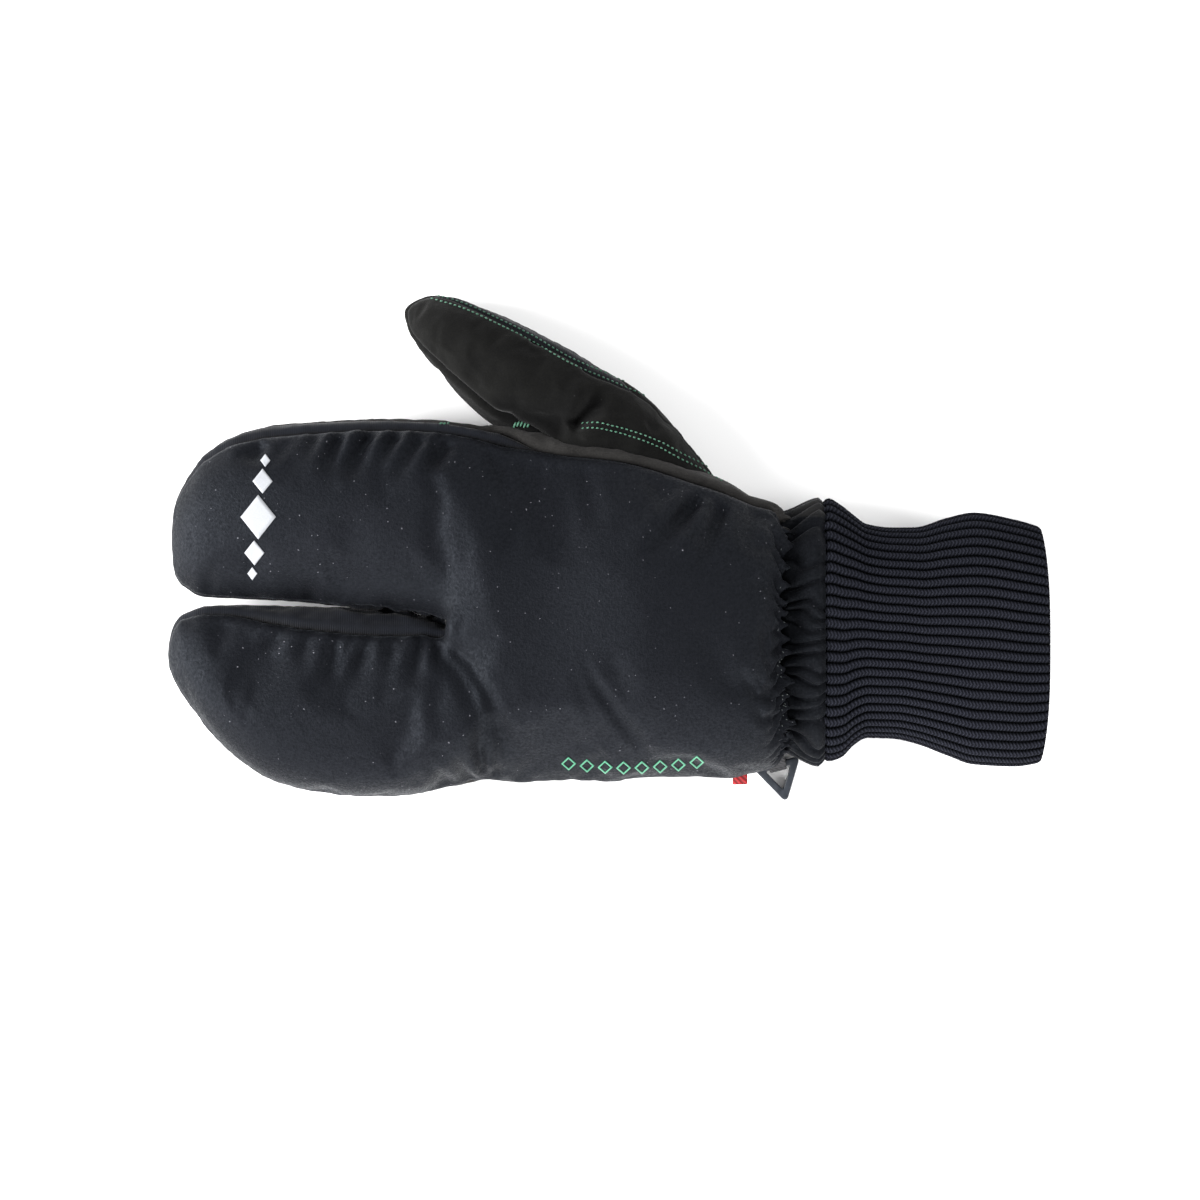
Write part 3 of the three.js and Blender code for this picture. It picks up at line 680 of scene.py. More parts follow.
pick = random.Random(5)
spots = np.cumsum([pick.uniform(0.62, 1.38) for _ in range(hand["teeth"])])
toothSpots = spots / spots[-1] * 2 * math.pi
toothSizes = np.array([pick.uniform(0.4, 1.0) for _ in range(hand["teeth"])])


def aroundWrist(y, z):
    return np.arctan2((z - 0.018) * 1.7, y + 0.008) % (2 * math.pi)


def teethAt(angle):
    # 1 at the tips of the teeth, 0 in the hollows between them, and each tip's own size
    angle = angle % (2 * math.pi)
    after = np.searchsorted(toothSpots, angle) % len(toothSpots)
    before = (after - 1) % len(toothSpots)
    room = (toothSpots[after] - toothSpots[before]) % (2 * math.pi)
    share = ((angle - toothSpots[before]) % (2 * math.pi)) / room
    size = np.where(share < 0.5, toothSizes[before], toothSizes[after])
    return np.abs(share * 2 - 1), size


points = pointsOf(handSkin)
normals = normalsOf(handSkin)
x, y, z = points.T
backHeight = seamHeight(fineBack, x, y)
onBack = smoothStep(z - backHeight, 0.0, 0.005)
pressed = foldedAlong(points, backFolds) * onBack
inSlit = (x < -0.05) & (np.abs(y + 0.003) < 0.011) & (z > 0.008)
pressed += foldedAlong(points, endFolds) * (1 - onBack) * inSlit
# the back dips before the palm
pressed += hand["dip"] * mm * bell(x, -0.02, 0.02) * smoothStep(y, -0.034, 0.004) * onBack
tooth, size = teethAt(aroundWrist(y, z))
pull = smoothStep(x, 0.046, 0.0603)
# between the teeth the cloth puffs up, and it all turns in at the elastic
pressed += pull**2 * (0.5 - (1 - tooth**2) * size) * 1.5 * mm
pressed += smoothStep(x, 0.0545, 0.0606) ** 1.5 * (2.4 + 1.8 * tooth * size) * mm
points -= normals * pressed[:, None]
# the walls of the slit go where they belong, and the cloth behind them follows
place = placeAlong(x)
slit = read(fineSlit, 1, place) * mitt["width"]
off = y - slit
edges = np.array(slitEdges) * mm
stops = np.arange(-0.146, -0.058, 0.0015)
fades = 1 - smoothStep(x, -0.06, -0.053)
meeting = np.interp(x, edges[:, 0], edges[:, 1:].mean(1))
for side, column in ((1, 1), (-1, 2)):
    beside = (off * side > 0) & (off * side < 0.02)
    walls = [side * np.min(side * y[beside & (np.abs(x - stop) < 0.0012)]) for stop in stops]
    goals = np.interp(stops, edges[:, 0], edges[:, column])
    evened = np.convolve(np.pad(walls, 2, "edge"), np.ones(5) / 5, "valid")
    wall = np.interp(x, stops, evened)
    shift = np.interp(x, stops, goals - evened) * fades
    follows = 1 - smoothStep(side * (y - wall), 0.001, 0.019)
    wanted = y + shift * follows
    # the index lobe leans over the ring lobe where they touch
    lean = hand["lean"] * np.clip((z - 0.014) / 0.008, -1, 1) * smoothStep(x, -0.096, -0.086) * fades
    wanted -= lean * (1 - smoothStep(np.abs(y - wall), 0.002, 0.014))
    if side < 0:
        # its wall stands up under that edge
        stands = bell(z, 0.0215, 0.004) * (y > wall - 0.008)
        wanted += hand["bulge"] * stands * np.abs(lean) / hand["lean"]
    least = meeting - lean + side * 0.0001
    wanted = np.where(fades > 0.5, side * np.maximum(side * wanted, side * least), wanted)
    points[:, 1] = np.where(off * side > 0, wanted, points[:, 1])
# the slit's corners are drawn back, and its end is evened out
fromMiddle = np.abs(y + 0.0048)
corner = np.clip(fromMiddle / 0.0045, 0, 1) ** 2 * bell(x, -0.0552, 0.003)
corner *= 1 - smoothStep(fromMiddle, 0.005, 0.008)
points[:, 0] -= corner * (1 - smoothStep(z - backHeight, -0.004, 0)) * 2 * mm
movePoints(handSkin, points)
roundEnd = bell(x, -0.066, 0.013) * bell(y, -0.003, 0.005) * smoothStep(z, 0.004, 0.01)
roundEnd *= 1 - onBack
eased(handSkin, np.where(roundEnd > 0.05, np.minimum(1, 1.6 * roundEnd), 0), 9)

bm = bmesh.new()
bm.from_mesh(handSkin.data)
part = bm.faces.layers.int.new("part")
# a layer for the painted shade in seams and creases
bm.verts.layers.float.new("paintedShade")
geometry = bm.verts[:] + bm.edges[:] + bm.faces[:]
bmesh.ops.bisect_plane(bm, geom=geometry, plane_co=(hand["edge"], 0, 0), plane_no=(1, 0, 0), clear_outer=True)
cutIntoPanels(bm, part, handSeams)
# painted shade deep in each crease of the back
at = placesIn(bm)
creaseShade = foldedAlong(at, backFolds) * smoothStep(at[:, 2] - handSeams(at)[0], 0, 0.005)
sinkSeams(bm, part, 0.4 * np.clip(creaseShade / 0.003, 0, 1), hand["sewing"])
for vert in bm.verts:
    if vert.co.x > 0.048:
        tooth, size = teethAt(aroundWrist(vert.co.y, vert.co.z))
        ramp = float(smoothStep(vert.co.x, 0.048, hand["edge"]))
        vert.co.x += ramp**2 * (float(tooth * size) - hand["toothRoot"]) * hand["toothReach"] * mm
bm.normal_update()
handTree = BVHTree.FromBMesh(bm)
bm.to_mesh(handSkin.data)
bm.free()


def panelFrom(source, wanted, name, wall):
    bm = bmesh.new()
    bm.from_mesh(source.data)
    part = bm.faces.layers.int["part"]
    spare = [face for face in bm.faces if face[part] != wanted]
    bmesh.ops.delete(bm, geom=spare, context="FACES")
    piece = pieceFrom(bm, name, outward=False)
    thickened(piece, wall * mm)
    return piece


backPanel = panelFrom(handSkin, 0, "backPanel", hand["wall"])
palmPanel = panelFrom(handSkin, 1, "palmPanel", hand["wall"])
fingerGusset = panelFrom(handSkin, 2, "fingerGusset", 1.4)
bpy.data.objects.remove(handSkin)
print("hand cut into its panels")

# ---- the thumb
thumb = {
    "length": 0.068,
    "width": 0.0375,
    "thickness": 0.033,
    "splay": math.radians(33),
    "root": Vector((-0.01369, 0.066246, 0)),
    "start": -0.9,
    "voxel": 1.5,
    "points": 56,
    "air": {
        "stretch": 8,
        "shear": 4,
        "bending": 1.0,
        "shrink": -0.012,
        "pressure": 4.0,
        "frames": 16,
        "cap": 0.002,
    },
    "sewing": {
        "reach": 0.014,
        # mm, how far the painted shade reaches from a seam
        "dark": 0.7,
        "depth": 1.2,
        "breadth": 1.2,
        "swell": (0.25, 3, 2.4),
        "ripples": ((210, 0.5), (480, 0.3)),
        "calm": 0.45,
        "lively": 0.45,
        "fade": 3.6,
    },
    "wall": 1.8,
}


def fromThumb(along, v, z):
    s = (along - 1) * thumb["length"]
    c, w = math.cos(thumb["splay"]), math.sin(thumb["splay"])
    return Vector((thumb["root"].x + s * c + v * w, thumb["root"].y - s * w + v * c, z))


def toThumb(x, y):
    c, w = math.cos(thumb["splay"]), math.sin(thumb["splay"])
    dx, dy = x - thumb["root"].x, y - thumb["root"].y
    return (dx * c - dy * w) / thumb["length"] + 1, dx * w + dy * c


fineThumb = smoothTable(thumbSeams)
fineOutline = smoothTable(thumbOutline)
rings = []
for place in [row[0] for row in thumbOutline[:6]] + list(np.arange(0.25, 1.95, 0.05)):
    row = rowAt(fineOutline, place)
    ring = outlineRing(row, thumb["width"], thumb["thickness"], thumb["start"] * mm, thumb["points"])
    rings.append([fromThumb(place, across, up) for across, up in ring])
bm = bmesh.new()
tubeThrough(bm, rings)
thumbSkin = pieceFrom(bm, "thumbSkin")
remeshed(thumbSkin, thumb["voxel"] * mm)


def seamsOfThumb(at):
    t, v = toThumb(at[:, 0], at[:, 1])
    share = np.clip(v / thumb["width"] + 0.5, 0, 1)
    inner, outer, strip = (read(fineThumb, column, t) for column in (1, 2, 3))
    upper = (inner + (outer - inner) * share) * thumb["thickness"]
    isOpen = smoothStep(t, 0.04, 0.12) * (1 - smoothStep(t, 1.1, 1.25)) * (v > 0)
    return upper, upper - (upper - strip * thumb["thickness"]) * isOpen, isOpen


puffed(thumbSkin, heldBy(seamsOfThumb, pointsOf(thumbSkin), 0.0018, 0.0013), thumb["air"])
subdivided(thumbSkin)
settle(thumbSkin)
print("thumb blown up:", len(thumbSkin.data.vertices), "points")

thumbFolds = [
    ([(-14, 61.5), (-10, 65), (-5, 70), (0, 74.5)], 2.2, 4.2, 0.5, 0.6),
    ([(-13, 61), (-3, 65.5), (10, 70)], 1.9, 1.8, -0.5, 0.6),
    ([(-36, 68), (-24, 64), (-13, 62)], 3.4, 3.2, -0.3, -0.8),
    ([(-36, 63), (-32, 70), (-26, 76)], 2.6, 1.0, 0.5, 0.4),
    ([(-48, 78), (-44, 84), (-40, 88)], 3.0, 0.8, 0.4, 0.4),
    ([(-28, 92), (-24, 86), (-22, 80)], 2.6, 0.8, 0.4, 0.4),
    ([(-55, 88), (-52, 93), (-50, 97)], 2.6, 0.6, 0.4, 0.4),
    ([(12, 62), (20, 66), (26, 68)], 2.4, 0.8, 0.5, 0.4),
    ([(-8, 84), (-6, 78), (-1, 73)], 2.6, 0.7, 0.4, 0.4),
]
# a painted shadow on the thumb's suede where it dips beside the hand
paintedThumbShadow = [([(-42, 69), (-24, 65), (-9, 66)], 4.5, 1.0, 0, 0.85)]


def onThumb(at, folds):
    return foldedAlong(at, folds) * smoothStep(at[:, 2], 0.008, 0.015)


points = pointsOf(thumbSkin)
points -= normalsOf(thumbSkin) * onThumb(points, thumbFolds)[:, None]
movePoints(thumbSkin, points)
bm = bmesh.new()
bm.from_mesh(thumbSkin.data)
part = bm.faces.layers.int.new("part")
# a layer for the painted shade in seams, creases and beside the hand
bm.verts.layers.float.new("paintedShade")
cutIntoPanels(bm, part, seamsOfThumb)
at = placesIn(bm)
creaseShade = np.clip(onThumb(at, thumbFolds) / 0.0032, 0, 1)
# the painted shadow beside the hand joins the painted crease shade
creaseShade = np.maximum(creaseShade, onThumb(at, paintedThumbShadow) / mm)
sinkSeams(bm, part, 0.8 * creaseShade, thumb["sewing"])
# what lies inside the hand is left out
inside = []
for face in bm.faces:
    middle = face.calc_center_median()
    near, normal, _, far = handTree.find_nearest(middle)
    if (middle - near).dot(normal) < 0 and far > 0.0014:
        inside.append(face)
bmesh.ops.delete(bm, geom=inside, context="FACES")
bm.normal_update()
thumbTree = BVHTree.FromBMesh(bm)
bm.to_mesh(thumbSkin.data)
bm.free()
thumbBack = panelFrom(thumbSkin, 0, "thumbBack", thumb["wall"])
thumbPalm = panelFrom(thumbSkin, 1, "thumbPalm", thumb["wall"])
thumbStrip = panelFrom(thumbSkin, 2, "thumbStrip", 1.2)
bpy.data.objects.remove(thumbSkin)
print("thumb cut into its panels")

# ---- the gathered wrist
gather = {"wall": 1.6, "depth": 2.6, "points": 720, "from": 0.0545, "to": 0.073, "slant": 0.1}
base = outlineRing((0, 0.308, -0.427, 0.745, 0), mitt["width"], mitt["thickness"], 0, gather["points"])
angles = aroundWrist(np.array([across for across, up in base]), np.array([up for across, up in base]))


def sunkRing(x, sink):
    # one ring, drawn in towards its middle by sink, in metres, at each point
    ring = []
    for (across, up), deep in zip(base, sink):
        middle = Vector((across * 0.55 - 0.0036, 0.0175))
        off = Vector((across, up)) - middle
        off *= max(0.05, 1 - deep / max(off.length, 0.001))
        place = middle + off
        ring.append(Vector((x, place.x, max(place.y, 0.0003))))
    return ring


rings = []
for step in range(19):
    share = step / 18
    x = gather["from"] + (gather["to"] - gather["from"]) * share
    waist = 0.0052 * (1 - share) ** 1.6 - 0.0021 * smoothStep(share, 0.3, 0.9)
    waist += 0.0022 * max(0, share - 0.9) * 10
    drift = gather["slant"] * share * np.sin(3 * angles + 1) + 0.05 * np.sin(9 * angles + 5 * share)
    tooth, size = teethAt(angles + drift)
    crease = tooth**2.6 * (0.55 + 0.45 * size)
    pillow = np.sin(angles * 5 + share * 2) * 0.0004
    rings.append(sunkRing(x, waist + 0.0008 + pillow + crease * gather["depth"] * mm * (1 - 0.3 * share)))
for step in range(5):
    share = 1 - step / 4
    x = gather["from"] + (gather["to"] - gather["from"]) * share
    rings.append(sunkRing(x, np.full(len(angles), gather["wall"] * mm + gather["depth"] * mm + 0.002)))
bm = bmesh.new()
tubeThrough(bm, rings, joinUp=True)
order = bm.verts.layers.int["order"]
paintedShade = bm.verts.layers.float.new("paintedShade")
# painted shade on the gather: darkest where it runs in under the hand's edge, fading towards the cuff, and in
# its pleats
for vert in bm.verts:
    share = (vert.co.x - gather["from"]) / (gather["to"] - gather["from"])
    tooth, size = teethAt(angles[vert[order]])
    vert[paintedShade] = min(1, max(0, 1.15 - share * 1.7) + 0.6 * float(tooth) ** 3)
wristGather = pieceFrom(bm, "wristGather")
print("wrist gathered")

# ---- the knit cuff
cuff = {
    "length": 0.07795,
    "width": 0.090,
    "thickness": 0.035,
    "ribs": 56,
    "ribPoints": 12,
    "finePoints": 720,
    "ribDepth": 1.35,
    "rows": 66,
    "wall": 2.6,
    "bow": 0.0026,
    "roll": 0.003,
    "gap": 0.0003,
}
cuffOutline = [
    (0, 0.42, -0.57, 1, 0),
    (0.03, 0.424, -0.574, 1.01, 0),
    (0.09, 0.398, -0.56, 0.99, 0),
    (0.148, 0.36, -0.513, 0.95, 0),
    (0.208, 0.326, -0.485, 0.91, 0),
    (0.324, 0.313, -0.488, 0.87, 0),
    (0.427, 0.314, -0.506, 0.85, 0),
    (0.568, 0.348, -0.55, 0.83, 0),
    (0.694, 0.37, -0.586, 0.8, 0),
    (0.883, 0.343, -0.594, 0.77, 0),
    (1, 0.315, -0.58, 0.73, 0),
]
fineCuff = smoothTable(cuffOutline)


def lengthsAlong(path):
    return np.concatenate([[0], np.cumsum(np.linalg.norm(np.diff(path, axis=0), axis=1))])


def cuffRing(share, inset, ribs):
    # points at even distances round the cuff, ribs times as deep as its ribs are
    row = rowAt(fineCuff, share)
    upper, lower = row[1] * cuff["width"], row[2] * cuff["width"]
    top = row[3] * cuff["thickness"]
    count = cuff["ribs"] * cuff["ribPoints"]
    fine = outlineRing((0, upper, lower, top, 0), 1, 1, -inset, cuff["finePoints"])
    places = np.array(fine + fine[:1])
    reached = lengthsAlong(places)
    goals = np.linspace(0, reached[-1], count, endpoint=False)
    across = np.interp(goals, reached, places[:, 0])
    up = np.interp(goals, reached, places[:, 1])
    ring = []
    middle, half = (upper + lower) / 2, (upper - lower) / 2
    for i in range(count):
        phase = i % cuff["ribPoints"] / cuff["ribPoints"] * 2 - 1
        groove = (1 - math.sqrt(max(0, 1 - abs(phase) ** 2.4))) * ribs * cuff["ribDepth"] * mm
        ahead, behind = (i + 1) % count, i - 1
        tangent = Vector((across[ahead] - across[behind], up[ahead] - up[behind])).normalized()
        edge = min(1, abs(across[i] - middle) / half)
        x = mitt["cuffX"] + cuff["gap"] + share * (cuff["length"] - cuff["gap"] - cuff["bow"] * edge**3)
        inward = Vector((-tangent.y, tangent.x))
        place = Vector((across[i], up[i])) + inward * groove
        ring.append(Vector((x, place.x, max(place.y, 0.0003))))
    return ring


shares = [0, 0.001, 0.004, 0.009, 0.016, 0.025] + list(np.linspace(0.036, 0.975, 56)) + [0.985, 0.993, 0.998]
rings = []
for share in shares:
    # the wrist's end is a rolled fold
    turn = max(0, 1 - share * cuff["length"] / cuff["roll"])
    lip = cuff["roll"] * (1 - math.sqrt(1 - turn**2)) + max(0, (share - 0.98) / 0.018) ** 2 * 0.0008
    rings.append(cuffRing(share, lip, min(1, 0.55 + 12 * min(share, 1.01 - share))))
rings.append(cuffRing(1, 0.0015, 0.3))
for share in [0.997, 0.985, 0.95] + list(np.linspace(0.9, 0.04, 12)) + [0.0]:
    rings.append(cuffRing(share, cuff["wall"] * mm + (0.0012 if share < 0.04 else 0), 0.3))
bm = bmesh.new()
tubeThrough(bm, rings, joinUp=True)
order = bm.verts.layers.int["order"]
uv = bm.loops.layers.uv.new("ribs")
for face in bm.faces:
    numbers = [loop.vert[order] for loop in face.loops]
    wraps = max(numbers) - min(numbers) > 20
    for loop, number in zip(face.loops, numbers):
        turn = number + (cuff["ribs"] * cuff["ribPoints"] if wraps and number < 20 else 0)
        loop[uv].uv = (turn / cuff["ribPoints"], (loop.vert.co.x - mitt["cuffX"]) / cuff["length"])
knitCuff = pieceFrom(bm, "knitCuff")
print("cuff knitted")

# ---- ring, loop and label
ringFacts = {"side": 0.017, "corner": 0.0024, "hole": 0.0008, "edge": 0.0007, "bar": 0.0024, "height": 0.0026}
ringTurn = 14  # degrees, as it hangs


def sharpIn(bm):
    return [edge for edge in bm.edges if edge.calc_face_angle(0) > 1.0]


def rounded(bm, edges, offset, segments, **more):
    bmesh.ops.bevel(
        bm, geom=edges, offset=offset, affect="EDGES", segments=segments, profile=0.5, material=-1, **more
    )


def centredOn(bm, node, spin):
    low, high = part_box(node)
    bmesh.ops.rotate(bm, verts=bm.verts, matrix=Matrix.Rotation(math.radians(spin), 3, "Z"))
    corners = np.array([vert.co[:] for vert in bm.verts])
    middle = Vector((corners.min(0) + corners.max(0)) / 2)
    bmesh.ops.translate(bm, verts=bm.verts, vec=(low + high) / 2 - middle)


bm = bmesh.new()
bmesh.ops.create_circle(bm, cap_ends=True, segments=3, radius=ringFacts["side"] / math.sqrt(3))
bmesh.ops.rotate(bm, verts=bm.verts, matrix=Matrix.Rotation(math.radians(180), 3, "Z"))
rim = bmesh.ops.inset_region(
    bm, faces=bm.faces[:], thickness=ringFacts["bar"], use_boundary=True, use_even_offset=True
)
inner = [face for face in bm.faces if face not in set(rim["faces"])]
bmesh.ops.delete(bm, geom=inner, context="FACES")
pulled = bmesh.ops.extrude_face_region(bm, geom=bm.faces[:])["geom"]
lifted = [part for part in pulled if isinstance(part, bmesh.types.BMVert)]
bmesh.ops.translate(bm, verts=lifted, vec=(0, 0, ringFacts["height"]))
bmesh.ops.recalc_face_normals(bm, faces=bm.faces)
for outer, offset, segments in ((True, ringFacts["corner"], 6), (False, ringFacts["hole"], 3)):
    uprights = [
        edge
        for edge in bm.edges
        if abs(edge.verts[0].co.z - edge.verts[1].co.z) > 0.001
        and (edge.verts[0].co.xy.length > 0.0075) == outer
    ]
    rounded(bm, uprights, offset, segments)
rounded(bm, sharpIn(bm), ringFacts["edge"], 3, clamp_overlap=True)
tilt = Matrix.Rotation(math.atan2(0.0011, 0.0135), 3, "X")
bmesh.ops.rotate(bm, verts=bm.verts, matrix=tilt)
centredOn(bm, "triangle_ring", ringTurn)
triangleRing = pieceFrom(bm, "triangleRing")

# a strap round the ring's bar, doubled where it rises to the seam
strapUp = [(4.6, 9.6), (2.6, 9.1), (0.4, 7.6), (-0.4, 6.2), (-0.4, 5.1)]
strapLoop = [(-1.1, 4.7), (-1.95, 4.1), (-2.05, 2.6), (-1.9, 0.9), (-1.1, 0.45), (0, 0.35)]
strapBack = [(0.4, 5.1), (0.4, 6.2), (1.2, 7.1), (2.9, 8.3), (4.6, 8.8)]
strapPath = strapUp + strapLoop + [(-across, up) for across, up in strapLoop[-2::-1]] + strapBack
bm = bmesh.new()
start = [bm.verts.new((side * 0.003, strapPath[0][0] * mm, strapPath[0][1] * mm)) for side in (-1, 1)]
edges = [bm.edges.new(start)]
for across, up in strapPath[1:]:
    verts, edges = pulledOut(bm, edges)
    for vert in verts:
        vert.co.y = across * mm
        vert.co.z = up * mm
crossing = [edge for edge in bm.edges if abs(edge.verts[0].co.x - edge.verts[1].co.x) > 0.003]
bmesh.ops.subdivide_edges(bm, edges=crossing, cuts=5)
low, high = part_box("ring_loop")
bmesh.ops.rotate(bm, verts=bm.verts, matrix=Matrix.Rotation(math.radians(ringTurn), 3, "Z"))
bmesh.ops.translate(bm, verts=bm.verts, vec=((low.x + high.x) / 2, (low.y + high.y) / 2, -0.0001))
ringLoop = pieceFrom(bm, "ringLoop")
thickened(ringLoop, 0.0007, 0)
subdivided(ringLoop)

low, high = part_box("label_tab")
bm = bmesh.new()
bmesh.ops.create_cube(bm, size=1)
bmesh.ops.scale(bm, verts=bm.verts, vec=(0.005, 0.0072, 0.001))
bmesh.ops.subdivide_edges(bm, edges=bm.edges[:], cuts=3, use_grid_fill=True)
bmesh.ops.translate(bm, verts=bm.verts, vec=(low + high) / 2 + Vector((0, 0.0026, 0)))
for vert in bm.verts:
    out = (vert.co.y - high.y) / 0.003
    vert.co.z += 0.0005 * out * out * math.sin(vert.co.x * 900)
rounded(bm, sharpIn(bm), 0.0002, 2)
labelTab = pieceFrom(bm, "labelTab")
print("ring, loop and label made")


# ---- stitches
def onSurface(x, y, trees):
    # the highest surface under a place, in mm
    best = None
    for tree in trees:
        hit, normal, _, _ = tree.ray_cast(Vector((x * mm, y * mm, 0.2)), Vector((0, 0, -1)))
        if hit and (best is None or hit.z > best[0].z):
            best = (hit, normal)
    return best


def stationsAlong(line, pitch):
    # evenly spaced places on a smooth curve through a few places, in mm
    rough = np.array(line, float)
    fine = smoothTable(np.column_stack([lengthsAlong(rough), rough]), 400)
    run = lengthsAlong(fine[:, 1:])

    def at(goals):
        return np.array([np.interp(goals, run, fine[:, column]) for column in (1, 2)]).T

    goals = np.arange(pitch / 2, run[-1], pitch)
    ahead = at(goals + 0.2) - at(goals - 0.2)
    return [(x, y, math.atan2(dy, dx)) for (x, y), (dx, dy) in zip(at(goals), ahead)]


def sewn(bm, x, y, turn, length, thick, trees, sink=0.3):
    found = onSurface(x, y, trees)
    if found is None:
        return
    hit, normal = found
    forward = Vector((math.cos(turn), math.sin(turn), 0))
    forward = (forward - normal * forward.dot(normal)).normalized()
    side = normal.cross(forward)
    made = bmesh.ops.create_icosphere(bm, subdivisions=1, radius=1)["verts"]
    seat = hit + normal * thick * mm * (0.5 - sink)
    shape = Matrix((forward * length * mm / 2, side * thick * mm / 2, normal * thick * mm / 2)).transposed()
    for vert in made:
        vert.co = seat + shape @ vert.co


trees = [handTree, thumbTree]
pick = random.Random(3)
bm = bmesh.new()
stitch = {"length": 1.15, "thick": 0.6, "pitch": 1.65, "rows": 1.8, "fromEdge": 1.1, "palePitch": 1.9}
# the double rows where the thumb joins the palm, and on the thumb's back
palmRow = [(-10, 62.4), (-4.8, 62.6), (1, 61.5), (6.5, 60), (16.5, 56.3), (24.5, 52), (33, 48), (38.5, 44.5)]
thumbRow = [(-61, 107), (-50, 103.5), (-38, 98), (-26, 92), (-14, 85), (0, 79), (12, 74)]
for line in (palmRow, thumbRow):
    for off in (-stitch["rows"] / 2, stitch["rows"] / 2):
        for x, y, turn in stationsAlong(line, stitch["pitch"]):
            x -= math.sin(turn) * off
            y += math.cos(turn) * off
            sewn(bm, x, y, turn + pick.uniform(-0.08, 0.08), stitch["length"], stitch["thick"], trees)
# bar tacks on the suede beside the back's seam
for x, y, long, count in ((-55, 63.4, 1.5, 3), (-30, 63, 2.6, 5)):
    for i in range(count):
        sewn(bm, x + (i - 2) * 1.15, y + pick.uniform(-0.3, 0.3), 1.15, long, 0.8, trees)
greenStitches = pieceFrom(bm, "greenStitches")

# pale stitches zigzag along the teeth
bm = bmesh.new()
corners = []
for y in np.arange(-42, 22, 0.25):
    found = onSurface(57.5, y, [handTree])
    if found is not None:
        tooth, size = teethAt(aroundWrist(y * mm, found[0].z))
        tip = (float(tooth * size) - hand["toothRoot"]) * hand["toothReach"]
        corners.append((hand["edge"] / mm + tip - stitch["fromEdge"], y))
path = np.array(corners)
run = lengthsAlong(path)
for goal in np.arange(1, run[-1], stitch["palePitch"]):
    x, y = np.interp(goal, run, path[:, 0]), np.interp(goal, run, path[:, 1])
    ahead = np.interp(goal + 0.3, run, path[:, 0]) - x, np.interp(goal + 0.3, run, path[:, 1]) - y
    if pick.random() < (0.75 if y < -14 else 0.2):
        sewn(bm, x, y, math.atan2(ahead[1], ahead[0]), 0.8, 0.3, [handTree], 0.25)
paleStitches = pieceFrom(bm, "paleStitches")
print("stitches sewn")


# ---- small plain marks printed on the back
def diamond(bm, x, y, half, tall, turn=0.0, hollow=False):
    sheet = bmesh.ops.create_grid(bm, x_segments=8, y_segments=8, size=1)["verts"]
    if hollow:
        faces = {face for vert in sheet for face in vert.link_faces}
        middle = [face for face in faces if max(abs(c) for c in face.calc_center_median()[:2]) < 0.72]
        bmesh.ops.delete(bm, geom=middle, context="FACES")
    c, w = math.cos(turn), math.sin(turn)
    for vert in [vert for vert in sheet if vert.is_valid]:
        across, up = (vert.co.x + vert.co.y) / 2 * half, (vert.co.y - vert.co.x) / 2 * tall
        hit, normal = onSurface(x + across * c - up * w, y + across * w + up * c, [handTree])
        vert.co = hit + normal * 0.00022


def printed(bm, name):
    piece = pieceFrom(bm, name, outward=False)
    thickened(piece, 0.0002)
    return piece


bm = bmesh.new()
for y, half, tall in ((31.5, 6, 7.5), (43.6, 3.4, 4.2), (19.4, 3.4, 4.2), (50.6, 1.7, 2.2), (12.4, 1.7, 2.2)):
    diamond(bm, -119 + (y - 31.5) * 0.12, y, half, tall)
silverMarks = printed(bm, "silverMarks")
bm = bmesh.new()
for i in range(8):
    x = -14 + i * 6.2
    diamond(bm, x, -53.4 + 0.0035 * (x - 6) ** 2, 2.5, 2.3, 0.02, hollow=True)
greenMarks = printed(bm, "greenMarks")
print("marks printed")


# ---- camera, floor and light
view = {"middle": (-0.0034, 0.0034), "width": 0.408, "height": 2.8, "level": 0.02}
camera = bpy.data.objects.new("camera", bpy.data.cameras.new("camera"))
bpy.context.collection.objects.link(camera)
camera.location = (*view["middle"], view["height"])
camera.data.sensor_width = 36
camera.data.lens = 36 * (view["height"] - view["level"]) / view["width"]
camera.data.clip_end = 20
bpy.context.scene.camera = camera

bm = bmesh.new()
bmesh.ops.create_grid(bm, x_segments=1, y_segments=1, size=4)
floor = pieceFrom(bm, "floor", outward=False)


def lampOver(name, place, size, watts):
    lamp = bpy.data.objects.new(name, bpy.data.lights.new(name, "AREA"))
    bpy.context.collection.objects.link(lamp)
    lamp.data.shape = "RECTANGLE"
    lamp.data.size, lamp.data.size_y = size
    lamp.data.energy = watts
    lamp.location = place
    towards = Vector((0, 0, view["level"])) - Vector(place)
    lamp.rotation_euler = towards.to_track_quat("-Z", "Y").to_euler()


lampOver("leftBox", (-1.4, -0.1, 0.6), (0.8, 1.3), 97)
lampOver("nearBox", (0.1, -1.4, 0.6), (1.5, 0.8), 54)
lampOver("farBox", (0.4, 1.5, 1.1), (1.4, 0.8), 20)
lampOver("rightBox", (1.5, 0.1, 0.9), (0.8, 1.2), 19)
bpy.context.scene.view_settings.view_transform = "Standard"
world = bpy.data.worlds.new("room")
bpy.context.scene.world = world
world.use_nodes = True
world.node_tree.nodes["Background"].inputs["Color"].default_value = (1, 1, 1, 1)
world.node_tree.nodes["Background"].inputs["Strength"].default_value = 0.53
print("camera and light placed")


